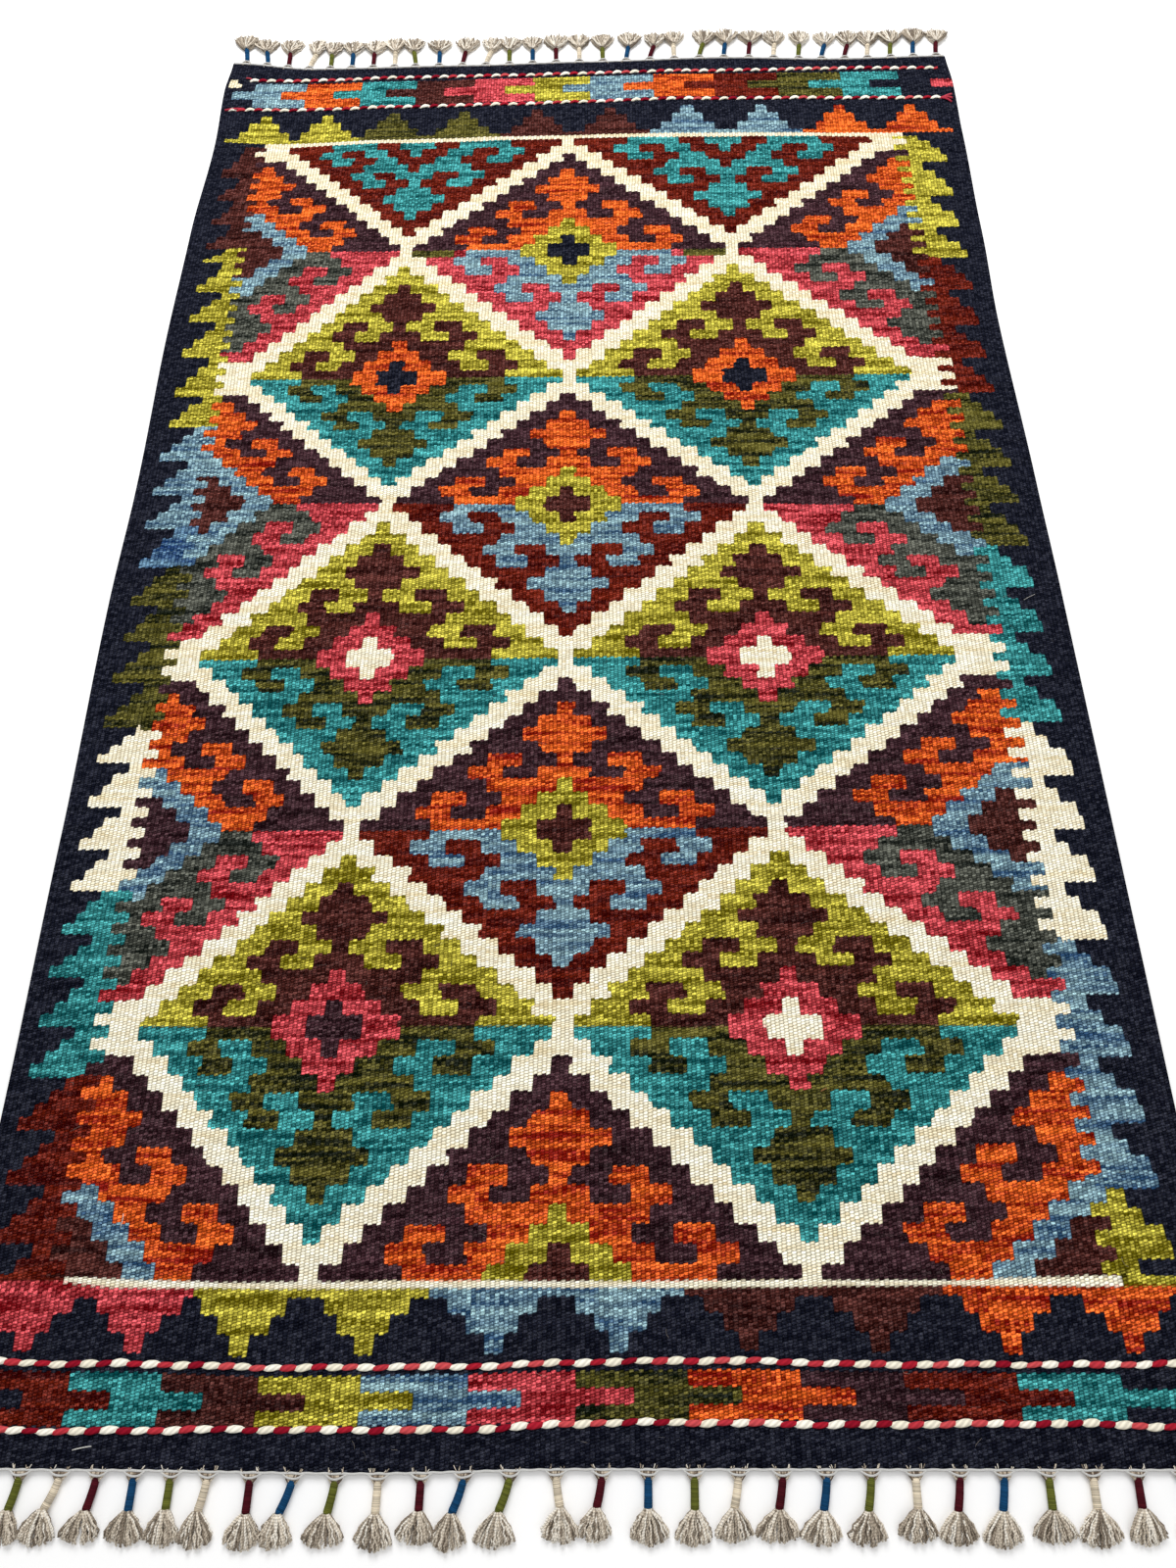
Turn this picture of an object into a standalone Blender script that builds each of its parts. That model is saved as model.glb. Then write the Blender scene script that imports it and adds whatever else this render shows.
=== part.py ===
"""A flat-woven wool kilim rug, lying flat, with wrapped warp tassels along both ends.

Metres, +Z up. The rug's width runs along X and its length along Y. Its underside lies on
Z = 0, and the origin is at the middle of its outline. While it is modelled, a place on it is
measured from the left edge and from the near end, as a weaver would.
"""
import math
from collections import namedtuple

import bmesh
import bpy
from mathutils import Vector

# Driving dimensions
WIDTH = 1.000
LENGTH = 1.710
THICKNESS = 0.003
GAP = 0.0003
CORNER_RADIUS = 0.006
RIM_BEVEL = 0.0010
SIDE_STEPS = 28

# The side edges wave: shifts of each edge, to the right, up the rug from the near end
SideWave = namedtuple("SideWave", "along left right")
SIDE_WAVES = (
    SideWave(0.00, 0.001, -0.004),
    SideWave(0.28, 0.001, -0.004),
    SideWave(0.52, -0.001, -0.004),
    SideWave(0.80, -0.005, -0.004),
    SideWave(0.94, -0.003, -0.005),
    SideWave(1.19, -0.007, -0.008),
    SideWave(1.36, -0.006, -0.004),
    SideWave(1.54, 0.000, -0.001),
    SideWave(1.65, -0.003, 0.001),
    SideWave(1.71, 0.001, -0.002),
)

# So do the ends: shifts of each end, away from the near end, across from the left edge
EndWave = namedtuple("EndWave", "across near far")
END_WAVES = (
    EndWave(0.00, 0.000, 0.001),
    EndWave(0.12, -0.001, -0.014),
    EndWave(0.33, -0.003, -0.010),
    EndWave(0.50, 0.000, -0.005),
    EndWave(0.68, 0.000, 0.001),
    EndWave(0.85, 0.000, -0.005),
    EndWave(1.00, 0.000, -0.001),
)

# The four rows of twined cord, by their distance from the near end
CordRows = namedtuple("CordRows", "across near_outer near_inner far_inner far_outer")
CORD_ROWS = (
    CordRows(0.00, 0.0265, 0.0725, 1.6080, 1.6720),
    CordRows(0.12, 0.0250, 0.0710, 1.6060, 1.6700),
    CordRows(0.26, 0.0250, 0.0672, 1.6100, 1.6740),
    CordRows(0.38, 0.0262, 0.0692, 1.6140, 1.6770),
    CordRows(0.52, 0.0300, 0.0715, 1.6170, 1.6790),
    CordRows(0.62, 0.0303, 0.0728, 1.6215, 1.6825),
    CordRows(0.75, 0.0300, 0.0706, 1.6205, 1.6825),
    CordRows(0.87, 0.0295, 0.0695, 1.6175, 1.6830),
    CordRows(1.00, 0.0270, 0.0720, 1.6175, 1.6820),
)
CordRun = namedtuple("CordRun", "name row start end")
CORD_RUNS = (
    CordRun("twined_cord_near_outer", "near_outer", 0.010, 0.988),
    CordRun("twined_cord_near_inner", "near_inner", 0.010, 0.988),
    CordRun("twined_cord_far_inner", "far_inner", 0.008, 0.988),
    CordRun("twined_cord_far_outer", "far_outer", 0.030, 0.984),
)
TWIST_PITCH = 0.024      # one cream and one crimson lens of the two-colour cord
LENS_WIDTH = 0.0072
LENS_HEIGHT = 0.0025
WAIST_WIDTH = 0.0046
WAIST_HEIGHT = 0.0016
LENS_SLANT = 0.0026      # how far a lens's back end lies to the right of its front end
CROWN_SHARE = 0.55       # the crown's width as a share of the cord's

# The tassels: places of a few of them from the left edge, and how each leans
TasselPlace = namedtuple("TasselPlace", "number across")
End = namedtuple("End", "name column outward base places leans")
NEAR_END = End(
    "fringe_near", "near", -1, 0.0,
    (TasselPlace(0, 0.014), TasselPlace(3, 0.105), TasselPlace(7, 0.216),
     TasselPlace(13, 0.408), TasselPlace(18, 0.580), TasselPlace(30, 0.974)),
    "ullLluuluLluuLLrluullllulluuuru",
)
FAR_END = End(
    "fringe_far", "far", 1, LENGTH,
    (TasselPlace(0, 0.020), TasselPlace(8, 0.2585), TasselPlace(18, 0.586),
     TasselPlace(24, 0.794), TasselPlace(30, 0.986)),
    "lluRuuuulurRuuuuurRuRrrrrRRrrrr",
)
LEAN = {"L": -0.0085, "l": -0.0045, "u": -0.0005, "r": 0.0035, "R": 0.0070}
EDGING_WIDTH = 0.0022
EDGING_HEIGHT = 0.0030
ROOT_WIDTH = 0.0130
ROOT_LENGTH = 0.0050
ROOT_HEIGHT = 0.0045
WAIST = 0.0048
NECK_WIDTH = 0.0062
NECK_HEIGHT = 0.0060
NECK_LENGTH = 0.0240
NECK_BOW = 0.25          # share of the lean that is made in the upper half of the neck
BRUSH_LENGTH = 0.0250
BRUSH_REACH = 0.0148     # half of the widest brush
BRUSH_DRIFT = 0.35       # share of the neck's lean that the brush goes on with
LOCKS = 3
LOCK_SHARE = 0.86        # a lock's width as a share of the locks' spacing
BRUSH_HEIGHTS = (0.0048, 0.0026)    # halfway along a lock, and at its cut end
BRUSH_ARC = 0.22         # how much shorter a brush is at its widest place, as a share
NECK_CROWN = 0.62        # widths of the crowns as shares of the feet's
LOCK_CROWN = 0.80
CLEAR = 0.0010           # between the brushes of two neighbours

# A place down a tassel: its middle across the rug, its distance from the edging, its width
# and height, and how many edges its row is cut into
Station = namedtuple("Station", "middle reached width height cuts")

# Yarn colours
NAVY = (0.016, 0.020, 0.036, 1.0)
CREAM_CRIMSON = (0.56, 0.22, 0.22, 1.0)
UNDYED = (0.38, 0.31, 0.25, 1.0)


def clear_scene():
    """Take away whatever the scene holds."""
    for thing in list(bpy.data.objects):
        bpy.data.objects.remove(thing, do_unlink=True)


def read_table(rows, at, column):
    """Read a column of a table at a place between its rows, with eased steps."""
    if at <= rows[0][0]:
        return getattr(rows[0], column)
    for low, high in zip(rows, rows[1:]):
        if at <= high[0]:
            share = (at - low[0]) / (high[0] - low[0])
            eased = 0.5 - 0.5 * math.cos(math.pi * share)
            return getattr(low, column) + eased * (getattr(high, column) - getattr(low, column))
    return getattr(rows[-1], column)


def end_line(end, across):
    """The distance of the cloth's end from the near end's datum, at a place across."""
    return end.base + read_table(END_WAVES, across, end.column)


def side_line(column, along):
    """The distance of a side edge from the left edge's datum, at a place along the rug."""
    datum = {"left": 0.0, "right": WIDTH}[column]
    return datum + read_table(SIDE_WAVES, along, column)


def tassel_place(end, number):
    """A tassel's distance from the left edge, evenly spaced between the places given."""
    for low, high in zip(end.places, end.places[1:]):
        if number <= high.number:
            share = (number - low.number) / (high.number - low.number)
            return low.across + share * (high.across - low.across)
    return end.places[-1].across


def end_stations(end):
    """Places across an end where its edge bends: both sides of each tassel's root."""
    stations = [side_line("left", end.base) + CORNER_RADIUS]
    for number in range(len(end.leans)):
        middle = tassel_place(end, number)
        stations += [middle - ROOT_WIDTH / 2, middle + ROOT_WIDTH / 2]
    stations.append(side_line("right", end.base) - CORNER_RADIUS)
    return stations


def raise_sheet(bm, top_layer):
    """Make a flat sheet of faces a closed solid, each corner's top at its own stored place."""
    raised = bmesh.ops.extrude_face_region(bm, geom=bm.faces[:], use_keep_orig=True)
    for element in raised["geom"]:
        if isinstance(element, bmesh.types.BMVert):
            element.co = element[top_layer]
    bmesh.ops.recalc_face_normals(bm, faces=bm.faces[:])


def yarn_material(name, color, roughness):
    """A plain material in a yarn's colour."""
    material = bpy.data.materials.new(name)
    material.use_nodes = True
    shader = material.node_tree.nodes["Principled BSDF"]
    shader.inputs["Base Color"].default_value = color
    shader.inputs["Roughness"].default_value = roughness
    shader.inputs["Metallic"].default_value = 0.0
    return material


def add_object(name, bm, material):
    """Put a finished bmesh into the scene as a named object."""
    mesh = bpy.data.meshes.new(name)
    bm.to_mesh(mesh)
    bm.free()
    mesh.materials.append(material)
    thing = bpy.data.objects.new(name, mesh)
    bpy.context.scene.collection.objects.link(thing)
    return thing


def corner(column, end, quadrant):
    """The middle point of a rounded corner of the cloth."""
    inward_x = 1 if column == "left" else -1
    centre_x = side_line(column, end.base) + inward_x * CORNER_RADIUS
    centre_y = end_line(end, centre_x) - end.outward * CORNER_RADIUS
    return (centre_x + CORNER_RADIUS * math.cos(quadrant),
            centre_y + CORNER_RADIUS * math.sin(quadrant))


def side_points(column):
    """Points up a side edge, between its corners."""
    low = end_line(NEAR_END, side_line(column, NEAR_END.base)) + CORNER_RADIUS
    high = end_line(FAR_END, side_line(column, FAR_END.base)) - CORNER_RADIUS
    points = []
    for step in range(SIDE_STEPS + 1):
        along = low + (high - low) * step / SIDE_STEPS
        points.append((side_line(column, along), along))
    return points


def woven_cloth(material):
    """The cloth: one flat solid, its edges as uneven as the weaver left them."""
    near = [(across, end_line(NEAR_END, across)) for across in end_stations(NEAR_END)]
    far = [(across, end_line(FAR_END, across)) for across in end_stations(FAR_END)]
    outline = near + [corner("right", NEAR_END, math.radians(-45))]
    outline += side_points("right")
    outline.append(corner("right", FAR_END, math.radians(45)))
    outline += reversed(far)
    outline.append(corner("left", FAR_END, math.radians(135)))
    outline += reversed(side_points("left"))
    outline.append(corner("left", NEAR_END, math.radians(225)))

    bm = bmesh.new()
    underside = bm.faces.new([bm.verts.new((x, y, 0.0)) for x, y in outline])
    raised = bmesh.ops.extrude_face_region(bm, geom=[underside], use_keep_orig=True)
    top = [element for element in raised["geom"] if isinstance(element, bmesh.types.BMVert)]
    bmesh.ops.translate(bm, verts=top, vec=(0.0, 0.0, THICKNESS))
    bmesh.ops.recalc_face_normals(bm, faces=bm.faces[:])
    rim = [edge for edge in bm.edges if all(vert.co.z > THICKNESS / 2 for vert in edge.verts)]
    bmesh.ops.bevel(bm, geom=rim, offset=RIM_BEVEL, offset_type="OFFSET", segments=1,
                    profile=0.5, affect="EDGES", material=-1)
    return add_object("woven_cloth", bm, material)


def grow(bm, edge, places, top_layer, tops):
    """Grow one face out of an edge, to new corners in order from its left to its right.

    The edge is given by its left and right corners, and each new corner has the place that
    it has once it is raised.
    """
    row = []
    for place, top in zip(places, tops):
        vert = bm.verts.new(place)
        vert[top_layer] = top
        row.append(vert)
    if edge:
        bm.faces.new([edge[0], edge[1], *reversed(row)])
    return row


def twined_cord(run, material):
    """A row of two-colour twined cord on the cloth's face, with a lens for each yarn's turn."""
    lenses = 2 * round((run.end - run.start) / TWIST_PITCH)
    stations = 2 * lenses
    base = THICKNESS + GAP
    bm = bmesh.new()
    top_layer = bm.verts.layers.float_vector.new("top")
    edge = None
    for station in range(stations + 1):
        width, height = (LENS_WIDTH, LENS_HEIGHT) if station % 2 else (WAIST_WIDTH, WAIST_HEIGHT)
        across = run.start + (run.end - run.start) * station / stations
        along = read_table(CORD_ROWS, across, run.row)
        feet, crowns = [], []
        for side in (-1, 1):
            x = across + side * LENS_SLANT
            feet.append((x, along + side * width / 2, base))
            crowns.append((x, along + side * width / 2 * CROWN_SHARE, base + height))
        edge = grow(bm, edge, feet, top_layer, crowns)
    raise_sheet(bm, top_layer)
    return add_object(run.name, bm, material)


def brush_reaches(end):
    """Each tassel's cut end: its place across, and half the room that its brush has."""
    tips = []
    for number, lean in enumerate(end.leans):
        tips.append(tassel_place(end, number) + LEAN[lean] * (1 + BRUSH_DRIFT))
    reaches = []
    for number, tip in enumerate(tips):
        neighbours = [abs(tip - tips[other]) for other in (number - 1, number + 1)
                      if 0 <= other < len(tips)]
        reaches.append((tip, min([BRUSH_REACH] + [(room - CLEAR) / 2 for room in neighbours])))
    return reaches


def cross_row(middle, y, width, cuts, height, crown_share):
    """A row of points across a strand: its feet, and its crown's points over them."""
    feet, crowns = [], []
    for cut in range(cuts + 1):
        offset = (cut / cuts - 0.5) * width
        feet.append((middle + offset, y, 0.0))
        crowns.append((middle + offset * crown_share, y, height))
    return feet, crowns


def tassel(bm, end, number, edge, top_layer, tip, reach):
    """One tassel: warps gathered at the root, a wrapped neck, and a brush of three locks."""
    root = tassel_place(end, number)
    lean = LEAN[end.leans[number]]
    out = end_line(end, root) + end.outward * (GAP + EDGING_WIDTH)
    stations = (
        Station(root, ROOT_LENGTH, WAIST, ROOT_HEIGHT, 1),
        Station(root + lean * NECK_BOW, ROOT_LENGTH + NECK_LENGTH / 2, NECK_WIDTH, NECK_HEIGHT, 1),
        Station(root + lean, ROOT_LENGTH + NECK_LENGTH, NECK_WIDTH, NECK_HEIGHT, LOCKS),
    )
    row = edge
    for place in stations:
        y = out + end.outward * place.reached
        feet, crowns = cross_row(place.middle, y, place.width, place.cuts, place.height, NECK_CROWN)
        row = grow(bm, (row[0], row[-1]), feet, top_layer, crowns)

    wide = reach / ((LOCKS - 1) / 2 + LOCK_SHARE / 2)
    narrow = NECK_WIDTH / LOCKS
    for lock in range(LOCKS):
        strand = row[lock:lock + 2]
        for step, height in enumerate(BRUSH_HEIGHTS, start=1):
            share = step / len(BRUSH_HEIGHTS)
            apart = narrow + (wide - narrow) * share
            axis = root + lean + (tip - root - lean) * share
            feet, crowns = [], []
            for side in (-LOCK_SHARE / 2, LOCK_SHARE / 2):
                offset = (lock - (LOCKS - 1) / 2 + side) * apart
                arc = 1.0 - BRUSH_ARC * (offset / BRUSH_REACH) ** 2
                end_y = y + end.outward * BRUSH_LENGTH * share * arc
                feet.append((axis + offset, end_y, 0.0))
                crowns.append((axis + offset - side * (1.0 - LOCK_CROWN) * apart, end_y, height))
            strand = grow(bm, strand, feet, top_layer, crowns)


def fringe(end, material):
    """An end's edging twine, with its tassels fused to it at their roots."""
    stations = end_stations(end)
    bm = bmesh.new()
    top_layer = bm.verts.layers.float_vector.new("top")
    inner, outer = [], []
    for across in stations:
        line = end_line(end, across)
        for row, out in ((inner, GAP), (outer, GAP + EDGING_WIDTH)):
            vert = bm.verts.new((across, line + end.outward * out, 0.0))
            vert[top_layer] = (vert.co.x, vert.co.y, EDGING_HEIGHT)
            row.append(vert)
    for left in range(len(stations) - 1):
        bm.faces.new((inner[left], inner[left + 1], outer[left + 1], outer[left]))
    reaches = brush_reaches(end)
    for number in range(len(end.leans)):
        edge = (outer[2 * number + 1], outer[2 * number + 2])
        tassel(bm, end, number, edge, top_layer, *reaches[number])
    raise_sheet(bm, top_layer)
    return add_object(end.name, bm, material)


def centre_in_plan(things):
    """Move all the solids together so that their outline's middle is over the origin."""
    places = [vert.co for thing in things for vert in thing.data.vertices]
    low_x, high_x = min(place.x for place in places), max(place.x for place in places)
    low_y, high_y = min(place.y for place in places), max(place.y for place in places)
    shift = Vector(((low_x + high_x) / 2, (low_y + high_y) / 2, 0.0))
    for thing in things:
        for vert in thing.data.vertices:
            vert.co -= shift


def main():
    """Build the rug."""
    clear_scene()
    wool = yarn_material("kilim_wool", NAVY, 0.9)
    twine = yarn_material("twined_yarn", CREAM_CRIMSON, 0.85)
    warp = yarn_material("warp_yarn", UNDYED, 0.85)
    things = [woven_cloth(wool)]
    things += [twined_cord(run, twine) for run in CORD_RUNS]
    things += [fringe(end, warp) for end in (NEAR_END, FAR_END)]
    centre_in_plan(things)


main()
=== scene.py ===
"""Looks of a flat-woven wool kilim rug that lies flat, built round its CAD part.

Metres, +Z up, the rug's width along X and its length along Y. While it is built, a place on
the rug is given as a weaver would: across from the left edge, and along from the near end.
The pattern is charted by rule: stepped diamonds on a lattice of cells, hooks inside them,
toothed side borders, and bands of fingers and stepped pyramids at both ends.
"""
from __future__ import annotations

import logging
import math
import random
from dataclasses import dataclass, field
from enum import Enum, IntEnum
from typing import NamedTuple, Sequence

import bmesh
import bpy
import numpy as np
from bmesh.types import BMesh, BMVert
from bpy.types import Material, Node, NodeTree, Object
from bpy.types import NodeSocket as Socket
from mathutils import Matrix, Vector

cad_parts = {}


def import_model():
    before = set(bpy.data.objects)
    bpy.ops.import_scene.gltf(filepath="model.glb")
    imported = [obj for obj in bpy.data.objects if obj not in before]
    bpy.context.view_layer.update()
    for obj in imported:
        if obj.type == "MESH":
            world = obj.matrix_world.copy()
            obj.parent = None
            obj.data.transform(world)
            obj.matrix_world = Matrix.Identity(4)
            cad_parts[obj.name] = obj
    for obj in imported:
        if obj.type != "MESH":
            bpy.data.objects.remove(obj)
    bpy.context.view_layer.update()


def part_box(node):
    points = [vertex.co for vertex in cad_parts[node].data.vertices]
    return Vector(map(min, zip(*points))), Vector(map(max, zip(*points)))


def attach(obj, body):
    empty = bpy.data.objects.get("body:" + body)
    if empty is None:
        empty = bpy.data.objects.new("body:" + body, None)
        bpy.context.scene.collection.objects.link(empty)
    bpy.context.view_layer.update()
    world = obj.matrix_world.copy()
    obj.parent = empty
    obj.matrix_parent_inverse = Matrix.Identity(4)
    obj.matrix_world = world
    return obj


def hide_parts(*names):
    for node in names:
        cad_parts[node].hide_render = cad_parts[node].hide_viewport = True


LOG = logging.getLogger("kilim")

WIDTH = 1.000
LENGTH = 1.710
THICKNESS = 0.003
WARPS = 264
PICK = 0.0012          # the height of one pick of weft


class Slot(str, Enum):
    """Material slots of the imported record."""

    WOOL = "kilim_wool"
    TWINE = "twined_yarn"
    WARP = "warp_yarn"


class Dye(IntEnum):
    """The dyed yarns of the cloth."""

    NAVY = 0
    CREAM = 1
    LIME = 2
    OLIVE = 3
    TEAL = 4
    SKY = 5
    ORANGE = 6
    PINK = 7
    MAROON = 8
    MAHOGANY = 9
    PURPLE = 10
    SLATE = 11
    KHAKI = 12
    DEEP_SKY = 13


class Rgb(NamedTuple):
    """A display colour, each part from 0 to 255."""

    red: int
    green: int
    blue: int

    def linear(self) -> tuple[float, float, float, float]:
        """Turn the colour into the shader's linear light.

        Returns:
            Its red, green and blue from 0 to 1, and full alpha.
        """
        parts = []
        for part in self:
            share = part / 255
            parts.append(share / 12.92 if share <= 0.04045 else ((share + 0.055) / 1.055) ** 2.4)
        return parts[0], parts[1], parts[2], 1.0


class DyeLot(NamedTuple):
    """A yarn's dye, how uneven it is, and how strongly painted light changes it along the rug.

    Args:
        dark: its darkest tone.
        light: its lightest tone.
        streak: how strongly it streaks.
        fleck: how strongly light catches on its fibres.
        fade: how much painted light pales it toward the far end, or painted shade darkens it there
            where below zero.
    """

    dark: Rgb
    light: Rgb
    streak: float
    fleck: float = 1.0
    fade: float = 1.0


DYES = {
    Dye.NAVY: DyeLot(Rgb(6, 8, 19), Rgb(34, 37, 53), 0.20, 0.80),
    # Cream's painted far-end light is below zero: painted shade darkens it toward the far end
    Dye.CREAM: DyeLot(Rgb(236, 216, 170), Rgb(255, 255, 240), 0.45, 0.34, -2.6),
    Dye.LIME: DyeLot(Rgb(106, 96, 2), Rgb(212, 200, 74), 0.95),
    Dye.OLIVE: DyeLot(Rgb(10, 18, 4), Rgb(102, 96, 38), 1.15),
    Dye.TEAL: DyeLot(Rgb(2, 78, 82), Rgb(72, 168, 168), 0.85),
    Dye.SKY: DyeLot(Rgb(40, 74, 110), Rgb(148, 182, 188), 0.78),
    Dye.ORANGE: DyeLot(Rgb(132, 14, 2), Rgb(250, 112, 38), 0.95),
    Dye.PINK: DyeLot(Rgb(120, 4, 14), Rgb(230, 90, 98), 0.85),
    Dye.MAROON: DyeLot(Rgb(34, 3, 3), Rgb(94, 46, 40), 0.65),
    Dye.MAHOGANY: DyeLot(Rgb(60, 0, 0), Rgb(120, 34, 14), 0.85),
    Dye.PURPLE: DyeLot(Rgb(28, 8, 14), Rgb(76, 46, 54), 0.60),
    Dye.SLATE: DyeLot(Rgb(18, 24, 20), Rgb(100, 102, 92), 0.90),
    Dye.KHAKI: DyeLot(Rgb(80, 74, 24), Rgb(152, 140, 80), 0.90),
    Dye.DEEP_SKY: DyeLot(Rgb(14, 50, 100), Rgb(110, 148, 172), 0.90),
}
# The pale tone of a painted highlight on a single fibre
FIBRE_HIGHLIGHT = Rgb(230, 229, 226).linear()
WHITE = (1.0, 1.0, 1.0, 1.0)
DYE_STEPS = 16          # places on the ramp that turns a yarn's number into its colour
FAR_LIGHT_SPAN = 4.0         # the painted far-end light that a ramp's colour part from 0 to 1 stands for


class Read(NamedTuple):
    """One measured place of a wavy line: where along it, and its value there."""

    at: float
    value: float


def eased(reads: Sequence[Read], at: float) -> float:
    """Read a wavy line between its measured places.

    Args:
        reads: the measured places, in order.
        at: where to read.

    Returns:
        The value, with a cosine ease from each place to the next.
    """
    if at <= reads[0].at:
        return reads[0].value
    for low, high in zip(reads, reads[1:]):
        if at <= high.at:
            share = (at - low.at) / (high.at - low.at)
            return low.value + (0.5 - 0.5 * math.cos(math.pi * share)) * (high.value - low.value)
    return reads[-1].value


# How far both side edges are shifted to the right, along the rug
SIDE_ALONG = (0.00, 0.28, 0.52, 0.80, 0.94, 1.19, 1.36, 1.54, 1.65, 1.71)
LEFT_WAVE = tuple(map(Read, SIDE_ALONG, (0.001, 0.001, -0.001, -0.005, -0.003,
                                         -0.007, -0.006, 0.000, -0.003, 0.001)))
RIGHT_WAVE = tuple(map(Read, SIDE_ALONG, (-0.004, -0.004, -0.004, -0.004, -0.005,
                                          -0.008, -0.004, -0.001, 0.001, -0.002)))

# Lines across the rug, by their distance from the near end's datum
NEAR_EDGE = (Read(0, 0), Read(0.12, -0.001), Read(0.33, -0.003), Read(0.50, 0), Read(1, 0))
FAR_EDGE = (Read(0, 1.711), Read(0.12, 1.696), Read(0.33, 1.700), Read(0.50, 1.705),
            Read(0.68, 1.711), Read(0.85, 1.705), Read(1, 1.709))
ROW_ACROSS = (0, 0.12, 0.26, 0.38, 0.52, 0.62, 0.75, 0.87, 1)
NEAR_OUTER = tuple(map(Read, ROW_ACROSS, (0.0265, 0.0250, 0.0250, 0.0262, 0.0300,
                                          0.0303, 0.0300, 0.0295, 0.0270)))
NEAR_INNER = tuple(map(Read, ROW_ACROSS, (0.0725, 0.0710, 0.0672, 0.0692, 0.0715,
                                          0.0728, 0.0706, 0.0695, 0.0720)))
FAR_INNER = tuple(map(Read, ROW_ACROSS, (1.6080, 1.6060, 1.6100, 1.6140, 1.6170,
                                         1.6215, 1.6205, 1.6175, 1.6175)))
FAR_OUTER = tuple(map(Read, ROW_ACROSS, (1.6720, 1.6700, 1.6740, 1.6770, 1.6790,
                                         1.6825, 1.6825, 1.6830, 1.6820)))
NEAR_LINE = (Read(0.07, 0.1320), Read(0.24, 0.1290), Read(0.50, 0.1300), Read(0.75, 0.1300),
             Read(0.91, 0.1334))
FAR_LINE = (Read(0, 1.533), Read(0.085, 1.5265), Read(0.24, 1.5345), Read(0.42, 1.5385),
            Read(0.55, 1.5415), Read(0.70, 1.540), Read(0.91, 1.5375))
NEAR_LINE_FOOT = (Read(0.3, 0.1245), Read(0.9, 0.1264))
TILT_B = (Read(0, 1.3257), Read(1, 1.3232))
TILT_D = (Read(0, 0.9240), Read(0.5, 0.9190), Read(1, 0.9135))
TILT_F = (Read(0, 0.5245), Read(1, 0.5282))


def level(value: float) -> tuple[Read, ...]:
    """A line that runs straight across."""
    return (Read(0.0, value),)


class Anchor(NamedTuple):
    """A line across the cloth that the rows of weave between follow."""

    nominal: float
    line: tuple[Read, ...]


NECK_LINES = (0.1320, 0.3360, 0.5262, 0.7187, 0.9190, 1.1080, 1.3245, 1.5385)
ANCHORS = (
    Anchor(0.0000, NEAR_EDGE),
    Anchor(0.0285, NEAR_OUTER),
    Anchor(0.0712, NEAR_INNER),
    Anchor(0.1248, NEAR_LINE_FOOT),
    Anchor(0.1320, NEAR_LINE),
    Anchor(0.3360, level(0.3360)),
    Anchor(0.5262, TILT_F),
    Anchor(0.7187, level(0.7187)),
    Anchor(0.9190, TILT_D),
    Anchor(1.1080, level(1.1080)),
    Anchor(1.3245, TILT_B),
    Anchor(1.5385, FAR_LINE),
    Anchor(1.6155, FAR_INNER),
    Anchor(1.6785, FAR_OUTER),
    Anchor(1.7100, FAR_EDGE),
)


@dataclass(frozen=True)
class RugMap:
    """Turns a weaver's place on the rug into a place in the frame.

    Args:
        shift_x: from the left edge's datum to the frame's X.
        shift_y: from the near end's datum to the frame's Y.
    """

    shift_x: float
    shift_y: float

    @classmethod
    def from_frame(cls) -> "RugMap":
        """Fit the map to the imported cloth's box."""
        low, _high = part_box("woven_cloth")
        return cls(low.x - min(read.value for read in LEFT_WAVE),
                   low.y - min(read.value for read in NEAR_EDGE))

    def edge(self, warp_share: float, along: float) -> float:
        """A warp's distance across, by its share of the width: it waves with both edges."""
        left = eased(LEFT_WAVE, along)
        return left + warp_share * (WIDTH + eased(RIGHT_WAVE, along) - left)

    def place(self, across: float, along: float, height: float) -> Vector:
        """A weaver's place as a point of the frame."""
        return Vector((across + self.shift_x, along + self.shift_y, height))


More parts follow.
